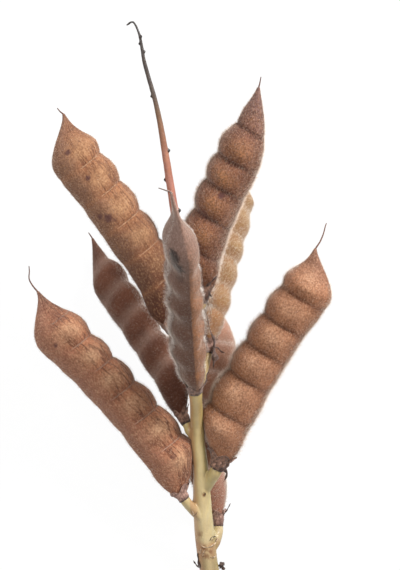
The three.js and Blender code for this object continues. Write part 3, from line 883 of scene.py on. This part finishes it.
hair_finishes = {
    "brown": hair_material("brown", srgb(146, 104, 80), srgb(190, 156, 132), srgb(232, 216, 200)),
    "dusky": hair_material("dusky", srgb(98, 66, 50), srgb(138, 108, 88), srgb(236, 226, 216)),
    "white": hair_material("white", srgb(196, 172, 148), srgb(226, 212, 196), srgb(246, 240, 232)),
    "grey": hair_material("grey", srgb(112, 84, 70), srgb(170, 144, 126), srgb(240, 232, 224)),
}

# %% [markdown]
# The roots are spread over the skin by area, and more of them stand where the pod shows its edge.
# Every draw has a fixed seed.


# %% Spread the hairs
def spikes(roots, directions, lengths, radius):
    """A closed spike of four triangles at each root."""
    helper = np.where(np.abs(directions[:, 2:]) < 0.9, [[0, 0, 1.0]], [[1.0, 0, 0]])
    first = np.cross(directions, helper)
    first /= np.linalg.norm(first, axis=1)[:, None]
    second = np.cross(directions, first)
    corners = [roots + radius * (math.cos(turn) * first + math.sin(turn) * second) for turn in angles(3)]
    tips = roots + directions * lengths[:, None]
    points = np.stack([*corners, tips], axis=1).reshape(-1, 3)
    starts = 4 * np.arange(len(roots))[:, None, None]
    pattern = np.array([[0, 2, 1], [0, 1, 3], [1, 2, 3], [2, 0, 3]])
    return points, (starts + pattern).reshape(-1, 3).tolist()


def at_edge(pod, v):
    """1 where the pod shows its edge to the camera: at the seams, or on the faces of one seen edge-on."""
    return smooth((abs(v) - 0.82) / 0.18) if pod.hairs_at == "seams" else smooth((0.3 - abs(v)) / 0.25)


def scatter(pod, piece, count, random):
    """Roots spread over a piece's faces by area, more densely at its edges.

    Gives their places in millimetres, the normals there, and how near an edge each is, 0 to 1.
    """
    mesh = piece.data
    mesh.calc_loop_triangles()
    corners = read(mesh.loop_triangles, "vertices", 3, int)
    places = read(mesh.vertices, "co") / MM - SHIFT
    edge = at_edge(pod, read(mesh.attributes["across"].data, "value", 1).ravel())
    a, b, c = (places[corners[:, k]] for k in range(3))
    areas = np.linalg.norm(np.cross(b - a, c - a), axis=1) * (1 + pod.extra_hairs * edge[corners[:, 0]])
    chosen = random.choice(len(areas), count, p=areas / areas.sum())
    u, w = random.random(count), random.random(count)
    u, w = np.where(u + w > 1, 1 - u, u), np.where(u + w > 1, 1 - w, w)
    roots = a[chosen] + u[:, None] * (b - a)[chosen] + w[:, None] * (c - a)[chosen]
    nearest = corners[chosen, 0]
    return roots, read(mesh.vertices, "normal")[nearest], edge[nearest]


# %% [markdown]
# A hair's direction is the skin's own, laid towards the tip and then strayed. Hairs get shorter
# towards the beak, most of all on the front pod, which is seen edge-on.

# %% Hairs
HAIR_LIE = 0.7
HAIR_STRAY = 0.35
HAIR_SUNK = 0.05
HAIR_LENGTHS = (0.55, 1.25)


def make_hairs(pod, seed):
    random = np.random.default_rng(100 + seed)
    roots, normals, edge = scatter(pod, skins[pod.name], pod.hairs, random)
    along = (roots - pod.base) @ pod.axis
    keep = (along > pod.calyx_top + 0.5) & (along < pod.length + 1)
    roots, normals, along, edge = (rows[keep] for rows in (roots, normals, along, edge))
    directions = normals + HAIR_LIE * pod.axis + HAIR_STRAY * random.normal(size=roots.shape)
    directions /= np.linalg.norm(directions, axis=1)[:, None]
    lengths = pod.hair_length * random.uniform(*HAIR_LENGTHS, len(roots))
    lengths = lengths * np.clip(1.5 - along / pod.length, 0.5, 1) * (1 + pod.extra_length * edge)
    if pod.hairs_at == "faces":
        lengths = lengths * (1 - 0.5 * smooth((along / pod.length - 0.5) / 0.3))
    points, faces = spikes(roots - HAIR_SUNK * normals, directions, lengths, pod.hair_radius)
    points[:, 2] = np.maximum(points[:, 2], 0.01)
    # Painted shade at the foot of the high left pod, and the real dark over each bruise.
    shade = np.maximum(pod.shade * smooth(1 - along / pod.foot_length), spot_mask(pod, in_pod(pod, roots)))
    values = {
        "place": points,
        "along": np.tile([0.0, 0.0, 0.0, 1.0], len(roots)),
        # How near the edge seen by the camera: the shader paints a rim light by it.
        "edge": np.repeat(edge, 4),
        "shade": np.repeat(shade, 4),
    }
    return new_object("hairs_" + pod.name, points, faces, hair_finishes[pod.hair], values)


for seed, pod in enumerate(pods):
    dress(make_hairs(pod, seed), [])
print("hairs, at most:", sum(pod.hairs for pod in pods))

# %% [markdown]
# ## Stem
# The main stem and the short stalks grew as one, and they flow into each other. First come the
# routes of the stem and of the stalks, as stops of x, y, z and radius, and the knobs where flowers
# and leaves dropped off, each by its height, the side it is on and its radius.

# %% Stem data
STEM = [
    [4.8, -105.9, 3, 3.4], [3.1, -97.2, 6, 3.3], [1.7, -86.5, 9.4, 3.4], [0.7, -73, 13.5, 3.1],
    [0.2, -60.7, 17.4, 2.5], [-0.7, -52.1, 20.1, 2.3], [-1.4, -38.4, 24.5, 2.1], [-3, -18.2, 30.5, 1.95],
    [-5.5, 8.2, 37.8, 1.8], [-8.3, 24.3, 42, 1.4], [-11.35, 43.4, 46.5, 1.15], [-13, 52.9, 48.7, 0.9],
    [-14.4, 59.2, 50, 0.8], [-17.9, 71.7, 52.5, 0.65], [-18.9, 77.9, 53.4, 0.5], [-19.8, 81.1, 53.8, 0.4],
    [-20.7, 82.9, 54, 0.36], [-21.4, 83.7, 54, 0.36], [-22.4, 83.2, 54, 0.36], [-23.4, 82.5, 53.8, 0.36],
]
RISING_STOPS = 18
STALKS = {
    "low_left": [[1, -79.5, 12, 2], [-1.8, -76.6, 14.8, 1.8]],
    "low_right": [[0.9, -70, 14.4, 2.2], [3.2, -66, 17, 2.2]],
    "high_left": [[-3.4, -21.5, 29.6, 1.5], [-6.4, -18.4, 31.4, 1.4]],
    "high_right": [[-4.2, -6, 34.2, 1.5], [-1.6, -5.4, 36, 1.4]],
    "mid_left": [[-0.6, -52.5, 19.6, 1.7], [-3.8, -48.6, 18.4, 1.6]],
    "pale": [[-1.3, -36.4, 24.9, 1.6], [1.6, -27.4, 20.6, 1.5]],
    "under": [[2.2, -92, 8.2, 2.2], [4.5, -88, 7.2, 2.5], [6, -84.8, 5.4, 2]],
    "front": [[-1, -52, 20.6, 1.5], [-1.1, -47, 23.2, 1.7], [-1.2, -42.6, 27.4, 1.7]],
}
KNOBS = [
    [79, 20, 0.45], [76.8, 190, 0.45], [74.3, 10, 0.45], [60.3, 175, 0.45], [43.3, 5, 0.6],
    [34, 185, 0.6], [24.2, 0, 0.7], [-73.5, 165, 1.3], [-84.6, 350, 1.5], [-86.3, 50, 1.1],
]
DARK_KNOBS_FROM = 20
KNOB_STANDS_OUT = 0.35
DARK_KNOB_STANDS_OUT = 1.2
KNOB_SIDES = 12
STEM_SIDES, STEM_STEPS = 24, 400
STALK_SIDES, STALK_STEPS = 20, 30
STALK_ENDS = (1.4, -0.4)


def stem_at(y):
    """The stem's middle and radius where it passes y. The last stops curl back, and don't count."""
    rising = np.array(STEM[:RISING_STOPS])
    return np.array([np.interp(y, rising[:, 1], rising[:, k]) for k in (0, 1, 2, 3)])


def knob_place(y, degrees, radius):
    x, y, z, stem_radius = stem_at(y)
    stands_out = DARK_KNOB_STANDS_OUT if y > DARK_KNOBS_FROM else KNOB_STANDS_OUT
    out = stem_radius - radius * (1 - stands_out)
    return np.array([x + out * math.cos(math.radians(degrees)), y, z + out * math.sin(math.radians(degrees))])


def ball(centre, radius):
    """A small round knob, as rings."""
    turns = angles(KNOB_SIDES)
    rings = []
    for level in np.linspace(0.12, math.pi - 0.12, 9):
        across, up = np.sin(level), np.full(KNOB_SIDES, -np.cos(level))
        rings.append(centre + radius * np.stack([across * np.cos(turns), across * np.sin(turns), up], axis=1))
    return loft(rings)


stem_parts = [tube(STEM, STEM_SIDES, STEM_STEPS)]
for pod in pods:
    ends = [np.array(pod.base) - (pod.calyx_below + below) * pod.axis for below in STALK_ENDS]
    stops = [*STALKS[pod.name], *([*end, pod.stalk_radius] for end in ends)]
    stem_parts.append(tube(stops, STALK_SIDES, STALK_STEPS))
for y, degrees, radius in KNOBS:
    stem_parts.append(ball(knob_place(y, degrees, radius), radius))
print("tubes and knobs to join:", len(stem_parts))


# %% [markdown]
# Tubes that only cross would show a crease, so they are joined by a voxel remesh, which lays one even
# skin over them all, and smoothed. A modifier is read through the evaluated object, so nothing has to
# be clicked or applied by hand.

# %% Join and smooth the stem
STEM_VOXEL = 0.26
SMOOTHING_ROUNDS = 5
TRIANGLES_KEPT = 0.55


def modified(points, faces, *modifiers):
    """The mesh that is left when these modifiers have run over the points, in millimetres."""
    mesh = bpy.data.meshes.new("raw")
    mesh.from_pydata(np.asarray(points).tolist(), [], faces)
    raw = bpy.data.objects.new("raw", mesh)
    bpy.context.scene.collection.objects.link(raw)
    for kind, settings in modifiers:
        modifier = raw.modifiers.new(kind.lower(), kind)
        for name, value in settings.items():
            setattr(modifier, name, value)
    graph = bpy.context.evaluated_depsgraph_get()
    result = bpy.data.meshes.new_from_object(raw.evaluated_get(graph))
    bpy.data.objects.remove(raw)
    faces = [tuple(p.vertices) for p in result.polygons]
    return read(result.vertices, "co"), read(result.vertices, "normal"), faces


stem_points, stem_normals, stem_faces = modified(
    *joined(stem_parts),
    ("REMESH", {"mode": "VOXEL", "voxel_size": STEM_VOXEL}),
    ("SMOOTH", {"factor": 0.5, "iterations": SMOOTHING_ROUNDS}),
    ("DECIMATE", {"ratio": TRIANGLES_KEPT}),
)
print("stem points:", len(stem_points))

# %% [markdown]
# ## Stem finish
# The stem is straw-yellow at its foot, greener among the pods, pink where it thins and nearly black
# at the tip. That is a ramp over the distance along it, and over it the left side is browner and a
# paler band along the top of the lower stem is painted on as a highlight. Knobs, scars and bruises
# are marked at the points of the mesh, from a short list of where they are.

# %% Stem material
STEM_COLOURS = [
    (0.0, 148, 134, 98), (0.06, 150, 132, 98), (0.075, 160, 124, 98), (0.092, 158, 122, 94),
    (0.1, 184, 168, 134), (0.24, 182, 166, 122), (0.34, 174, 152, 102), (0.56, 164, 138, 92),
    (0.64, 168, 126, 106), (0.68, 168, 112, 102), (0.76, 158, 108, 94), (0.82, 134, 98, 80),
    (0.85, 108, 86, 72), (0.885, 76, 68, 66), (1.0, 50, 46, 46),
]
STREAK_LIGHT = srgb(222, 208, 168)
BLOTCH_BROWN = srgb(170, 140, 100)
# A paler colour painted along the top of the lower stem: a painted highlight.
PAINTED_HIGHLIGHT_COLOUR = srgb(206, 184, 138)
LEFT_SIDE = srgb(164, 124, 88)
RIGHT_SIDE = srgb(168, 154, 100)
BRUISE = srgb(112, 70, 40)
KNOB_DARK = srgb(44, 36, 32)
STEM_BUMP = 0.00012

stem_material, tree, shader = new_material("stem skin", Specular_IOR_Level=0.4)
pattern = dry_skin(tree)
ramp = node(tree, "ShaderNodeValToRGB", {"Fac": attribute(tree, "along")})
for stop, *screen in STEM_COLOURS[1:-1]:
    ramp.color_ramp.elements.new(stop).color = srgb(*screen)
for end in (0, -1):
    ramp.color_ramp.elements[end].color = srgb(*STEM_COLOURS[end][1:])
streaks = product(tree, pattern["Streak"], 0.4)
blotches = product(tree, pattern["Blotch"], 0.35)
side = attribute(tree, "side")
colour = blend(tree, streaks, ramp.outputs[0], STREAK_LIGHT, "SOFT_LIGHT")
colour = layered(
    tree,
    blend(tree, blotches, colour, BLOTCH_BROWN, "MULTIPLY"),
    # The paler band along the top of the lower stem is a painted highlight.
    (product(tree, attribute(tree, "painted_highlight"), 0.5), PAINTED_HIGHLIGHT_COLOUR),
    (span(tree, side, -0.2, -0.9, 0, 0.7), LEFT_SIDE),
    (span(tree, side, 0.4, 1.0, 0, 0.35), RIGHT_SIDE),
    (attribute(tree, "mark"), BRUISE),
    (attribute(tree, "knob"), KNOB_DARK),
)
roughness = span(tree, pattern["Speck"], 0, 1, 0.32, 0.55)
surface(tree, shader, colour, roughness, (pattern["Height"], STEM_BUMP, 0.8))

# %% [markdown]
# The joined skin is pushed in and out a little along its fibres. Its values come next: `side` runs
# from the left of the lower stem to its right, and the painted highlight is 1 along its top.

# %% Stem
STEM_BRUISES = [
    [1.2, -70.6, 17, 0.55, 1.0], [0.1, -84.5, 12.8, 0.8, 0.6], [1.6, -89.8, 12, 0.9, 0.8],
    [2.4, -92.4, 11, 0.8, 0.7], [4.4, -86.8, 11.8, 0.45, 0.7], [-0.6, -88, 10.5, 0.7, 0.5],
    [3.6, -90.8, 11, 0.6, 0.7], [0.6, -92.6, 11, 0.5, 0.8],
]
FIBRE_HEIGHT = 0.06


def stem_marks(points):
    """1 inside each bruise, with a ragged edge."""
    mask = np.zeros(len(points))
    ragged = 0.8 * wander(points, 0.7, 3)
    for x, y, z, radius, strength in STEM_BRUISES:
        away = np.linalg.norm(points - [x, y, z], axis=1) / radius
        mask = np.maximum(mask, strength * smooth(1.7 - away + ragged))
    return mask


def knob_marks(points):
    """1 on each knob of the thin part."""
    mask = np.zeros(len(points))
    for y, degrees, radius in KNOBS:
        if y > DARK_KNOBS_FROM:
            away = np.linalg.norm(points - knob_place(y, degrees, radius), axis=1) / radius
            mask = np.maximum(mask, smooth((1.5 - away) / 0.5))
    return mask


fibres = wander(stem_points * [1, 0.12, 1], 0.8, 5)
stem_points = stem_points + stem_normals * (FIBRE_HEIGHT * fibres)[:, None]
stem_points[:, 2] = np.maximum(stem_points[:, 2], 0)
stem_x, stem_y, _ = stem_points.T
low_y, high_y = STEM[0][1], STEM[RISING_STOPS - 1][1]
middle_x, _, _, middle_radius = stem_at(stem_y)
stem_side = (stem_x - middle_x) / middle_radius
stem_values = {
    "along": np.clip((stem_y - low_y) / (high_y - low_y), 0, 1),
    "side": stem_side * smooth((1.5 - np.abs(stem_side)) / 0.4) * (stem_y < 0),
    # Where the painted highlight lies: along the top of the lower stem.
    "painted_highlight": bell(stem_side - 0.05, 0.42) * smooth(-stem_y / 12),
    "place": stem_points[:, [0, 2, 1]],
    "mark": stem_marks(stem_points),
    "knob": knob_marks(stem_points),
}
dress(new_object("stem_skin", stem_points, stem_faces, stem_material, stem_values), ["stem"])

# %% [markdown]
# ## Calyces
# Round each neck sits what is left of the flower's calyx: a papery cup with five ragged teeth, dry
# and crumpled. Torn bark has the same look, in other tones.


# %% Calyx finishes
CALYX_BUMP = 0.0003


def calyx_material(name, light, middle, fibre):
    """Papery skin in three tones, with fibres running up it."""
    material, tree, shader = new_material(name, Sheen_Weight=0.2)
    pattern = dry_skin(tree, 0.3)
    colour = layered(
        tree,
        light,
        (pattern["Blotch"], middle),
        (product(tree, pattern["Streak"], 0.8), fibre),
        (product(tree, pattern["Fleck"], 0.35), light),
        (attribute(tree, "dark"), srgb(38, 28, 24)),
    )
    roughness = span(tree, pattern["Streak"], 0, 1, 0.6, 0.9)
    surface(tree, shader, colour, roughness, (pattern["Height"], CALYX_BUMP, 1.0))
    return material


WITHERED = calyx_material("withered calyx", srgb(150, 112, 90), srgb(96, 62, 46), srgb(46, 28, 22))
PAPERY = calyx_material("papery calyx", srgb(176, 138, 122), srgb(134, 98, 84), srgb(84, 56, 46))
TORN = calyx_material("torn stem skin", srgb(204, 182, 150), srgb(178, 150, 118), srgb(128, 96, 72))
PAPERY_CALYCES = ("low_left", "pale", "under")

# %% [markdown]
# A calyx is a thin shell with an outside and an inside, and its folds come from noise that is drawn
# out up the cup. Scraps of dead petal and stamen curl away from some of them.

# %% Calyces
TWIGS = {
    "low_right": [
        [[7.2, -61, 20.6, 0.7], [9, -63.1, 20.4, 0.6], [8.6, -64.9, 19.6, 0.5], [7.4, -66.8, 18.8, 0.4]],
    ],
    "high_left": [
        [[-11.6, -14.2, 33, 0.6], [-14.3, -11.6, 33, 0.6], [-17, -9.3, 33.4, 0.35]],
        [[-12.4, -12.4, 34, 0.5], [-14.4, -9.9, 34.4, 0.5], [-15.6, -8, 34.6, 0.35]],
    ],
    "high_right": [
        [[2, -0.6, 40.4, 0.6], [3.5, 0.9, 41.6, 0.5], [4.8, 2.2, 42.2, 0.45], [6, 3.5, 42.5, 0.35]],
        [[2.7, -2.4, 39.6, 0.5], [3.6, -3.6, 40.2, 0.45], [4.4, -5, 40.2, 0.35]],
    ],
    "pale": [
        [[4.6, -20.8, 19.6, 0.45], [4.7, -18.7, 22.8, 0.4], [3.2, -14.5, 26.2, 0.35], [2.2, -9, 27.5, 0.35]],
        [[4.6, -21, 19.4, 0.5], [5.9, -21, 20.4, 0.4], [7.1, -22.3, 20, 0.35], [8.6, -22.9, 19.5, 0.35]],
        [[4.6, -21.4, 19.6, 0.9], [5.1, -23.6, 21.6, 1.2], [4.6, -26.2, 22.8, 0.9], [4.4, -28.2, 23.2, 0.4]],
    ],
    "under": [
        [[7.8, -79.4, 5, 0.5], [8.8, -78, 5.8, 0.45], [9.6, -76.6, 6.6, 0.4], [10.5, -74.7, 7.5, 0.35]],
    ],
    "front": [
        [[0.3, -34.2, 34.4, 0.5], [2.2, -31.2, 35.2, 0.4], [2.2, -29.5, 35.8, 0.35], [3.3, -27.8, 36, 0.35]],
        [
            [-3.8, -34.4, 34.2, 0.5], [-5.6, -31.4, 35, 0.4], [-6.6, -29.8, 35.4, 0.35],
            [-5.9, -28.6, 36, 0.35],
        ],
    ],
}
CALYX_SIDES = 72
CALYX_WALL = 0.5
CALYX_GAP = 0.2
CALYX_TOOTH = 0.8
CALYX_FLARE = 0.35
CALYX_RIM = 1.0
CUP_RINGS, INSIDE_RINGS = 12, 8
SCRAP_SIDES, SCRAP_STEPS = 10, 12


def calyx_shell(pod, seed):
    """The cup, as rings up its outside, over its teeth and down its inside, in the pod's own frame."""
    angle = angles(CALYX_SIDES)
    edge = pod.calyx_top + CALYX_TOOTH * np.cos(5 * angle + pod.turn)
    edge = edge + 0.5 * wander(np.stack([np.cos(angle), np.sin(angle), angle * 0], axis=1), 0.35, seed)
    neck = pod.neck_radius + CALYX_GAP + CALYX_WALL
    rings = []
    for t in np.linspace(0, 1, CUP_RINGS, endpoint=False):
        radius = mix(pod.stalk_radius + 0.1, neck, math.sin(math.pi / 2 * t))
        level = np.full(CALYX_SIDES, mix(-pod.calyx_below, 0, t))
        rings.append(np.stack([radius * np.cos(angle), radius * np.sin(angle), level], axis=1))
    walls = [(t, CALYX_GAP + CALYX_WALL * (1 - 0.5 * t), 0.0) for t in np.linspace(0, 1, CUP_RINGS)]
    walls += [(t, CALYX_GAP, 0.05) for t in np.linspace(1, 0, INSIDE_RINGS)]
    for t, gap, lower in walls:
        ring = pod_points(pod, t * edge, angle, gap + CALYX_FLARE * t**3)
        ring[:, 2] = t * edge - lower
        rings.append(ring)
    shell = np.array(rings)
    places = shell.reshape(-1, 3)
    folds = wander(places * [1, 1, 0.35], 0.7, seed + 20) + 0.5 * wander(places, 0.35, seed + 21)
    out = places[:, :2] / np.maximum(np.linalg.norm(places[:, :2], axis=1), 0.1)[:, None]
    places[:, :2] += out * (pod.crumple * folds)[:, None]
    return loft(stand(pod, places).reshape(shell.shape))


def scrap(stops, seed):
    """A dried strand: a tube that swells, flattens and crinkles along its route."""
    turns = angles(SCRAP_SIDES)
    phase = np.random.default_rng(seed).uniform(0, 6, 3)

    def section(share):
        flat = 0.45 + 0.2 * math.sin(9 * share + phase[0])
        twist = 2.5 * share + phase[1]
        x, y = np.cos(turns), flat * np.sin(turns)
        turned = [x * math.cos(twist) - y * math.sin(twist), x * math.sin(twist) + y * math.cos(twist)]
        swell = (0.85 + 0.3 * math.sin(14 * share + phase[2])) * (1.05 - share**4)
        return np.stack(turned, axis=1) * swell

    return loft(sweep(route(stops, SCRAP_STEPS * len(stops)), section))


def make_calyx(pod, seed):
    shell = calyx_shell(pod, seed)
    strands = [scrap(stops, 50 + 7 * seed + k) for k, stops in enumerate(TWIGS.get(pod.name, []))]
    points, faces = joined([shell, *strands])
    points[:, 2] = np.maximum(points[:, 2], 0.05)
    above_rim = ((shell[0] - pod.base) @ pod.axis + pod.calyx_below) / CALYX_RIM
    dark = np.concatenate([0.8 * smooth(1 - above_rim), np.full(len(points) - len(shell[0]), 0.6)])
    values = {"place": points - np.array(pod.base), "dark": dark}
    finish = PAPERY if pod.name in PAPERY_CALYCES else WITHERED
    return new_object("cup_" + pod.name, points, faces, finish, values)


for seed, pod in enumerate(pods):
    piece = make_calyx(pod, seed)
    dress(piece, ["calyx_" + pod.name])
print("points in a calyx:", len(piece.data.vertices))

# %% [markdown]
# ## Torn bark
# A few scraps of dark bark and old bract stick out at the foot of the stem. They are strands like
# the ones above, only darker.

# %% Bark scraps
SCRAPS = {
    "clump": [
        [[6.3, -96.5, 5.8, 1], [7.5, -95.7, 5.8, 1.2], [8.5, -96.4, 5.4, 0.7]],
        [[7, -96.4, 5.4, 0.9], [7.9, -97.4, 5, 0.9], [8.5, -98.6, 4.8, 0.5]],
    ],
    "fibres": [
        [[-0.7, -91.6, 9.6, 0.4], [-0.3, -94, 8.8, 0.8], [0.3, -97, 7.8, 0.7], [0.9, -100, 6.8, 0.5]],
        [[0.2, -97.3, 7.5, 0.45], [-1.2, -96, 7.6, 0.35], [-2.4, -94.2, 8, 0.35]],
    ],
}


def bark(name, strands, first_seed, finish, dark, nodes):
    """Strands as one piece, all equally dark."""
    points, faces = joined([scrap(stops, first_seed + k) for k, stops in enumerate(strands)])
    piece = new_object(name, points, faces, finish, {"place": points, "dark": np.full(len(points), dark)})
    dress(piece, nodes)


for seed, (name, strands) in enumerate(SCRAPS.items()):
    bark("scrap_" + name, strands, 90 + 5 * seed, WITHERED, 0.7, ["bark_" + name])

# %% [markdown]
# Thin pale flakes of torn skin and some dark scars lie on the stem. Each is given by where it runs as
# seen from above, and it is laid on the highest skin there.

# %% Flakes on the stem
FLAKES = [
    [
        [6.2, -86.6, 0.3], [5.2, -88, 0.5], [3.8, -88.9, 0.45], [2.2, -89.3, 0.5], [0.9, -89, 0.35],
        [0.3, -88.2, 0.2],
    ],
    [[0.4, -89.6, 0.3], [0.1, -90.6, 0.5], [-0.3, -91.8, 0.3]],
    [[1.6, -90.2, 0.2], [1.1, -91.4, 0.35], [0.9, -92.6, 0.2]],
    [[5.6, -92.4, 0.2], [4.6, -92.9, 0.35], [3.6, -92.6, 0.2]],
    [[-2.6, -76.2, 0.25], [-2.2, -77.6, 0.4], [-3, -78.8, 0.25]],
]
SCARS = [
    [
        [3.6, -86.7, 0.14], [3.8, -86, 0.18], [4.4, -85.6, 0.22], [5.1, -85.7, 0.22], [5.5, -86.3, 0.2],
        [5.4, -87, 0.18], [4.9, -87.4, 0.14],
    ],
    [[1.2, -70, 0.15], [1.8, -70.4, 0.22], [1.7, -71.2, 0.2], [1.1, -71.3, 0.12]],
    [[-2.4, -78.2, 0.1], [-1.4, -77.4, 0.12], [-0.8, -76.4, 0.1]],
]
FLAKE_LIFT = 0.05
FLAKE_REACH = 0.5


def laid(stops):
    """Stops of x, y and radius, each given the height of the highest stem skin near it."""
    lifted = []
    for x, y, radius in stops:
        away = np.hypot(stem_x - x, stem_y - y)
        near = stem_points[away < max(FLAKE_REACH, away.min() + FLAKE_LIFT)]
        top = near[near[:, 2].argmax()]
        over_skin = away.min() < FLAKE_REACH
        lifted.append([*mix(top[:2], np.array([x, y]), over_skin), top[2] + FLAKE_LIFT, radius])
    return lifted


bark("stem_flakes", [laid(stops) for stops in FLAKES], 120, TORN, 0.0, [])
bark("stem_scars", [laid(stops) for stops in SCARS], 130, WITHERED, 0.5, [])
print("flakes and scars:", len(FLAKES) + len(SCARS))

# %% [markdown]
# ## Table
# The table is a light table, as product photographers use: it glows white by itself, so the pods
# throw no shadow on it and their hairs show at the edges.

# %% Table
bpy.context.scene.view_settings.view_transform = "Standard"
WHITE = (1, 1, 1, 1)
TABLE_HALF = 1.5
TABLE_GLOW = 0.95
TABLE_BELOW = 0.0001
table_material, tree, shader = new_material(
    "light table", Roughness=0.9, Specular_IOR_Level=0.0, Emission_Color=WHITE, Emission_Strength=TABLE_GLOW
)
speckle = grain(tree, node(tree, "ShaderNodeTexCoord").outputs["Object"], 400, 2.0)
tree.links.new(blend(tree, speckle, srgb(60, 60, 60), srgb(70, 70, 70)), shader.inputs["Base Color"])
table = bpy.data.meshes.new("table")
corners = [(x * TABLE_HALF, y * TABLE_HALF, -TABLE_BELOW) for x, y in ((-1, -1), (1, -1), (1, 1), (-1, 1))]
table.from_pydata(corners, [], [(0, 1, 2, 3)])
table.materials.append(table_material)
table_object = bpy.data.objects.new("table", table)
bpy.context.scene.collection.objects.link(table_object)

# %% [markdown]
# ## Light
# A soft lamp at the upper right models the pods. A broader and weaker one at the left fills the
# shade, and so does the room's own light.

# %% Lamps and room light
AIM = [0, 0, 30]
ROOM_LIGHT = 0.5


def lamp(name, place_mm, size_mm, power):
    data = bpy.data.lights.new(name, "AREA")
    data.size = size_mm * MM
    data.energy = power
    made = bpy.data.objects.new(name, data)
    made.location = placed(place_mm)
    made.rotation_euler = (Vector(placed(AIM)) - made.location).to_track_quat("-Z", "Y").to_euler()
    bpy.context.scene.collection.objects.link(made)


lamp("key", [430, 380, 400], 240, 7)
lamp("fill", [-350, 250, 650], 500, 3.2)
world = bpy.data.worlds.new("room")
world.use_nodes = True
background = world.node_tree.nodes["Background"]
background.inputs["Color"].default_value = WHITE
background.inputs["Strength"].default_value = ROOM_LIGHT
bpy.context.scene.world = world
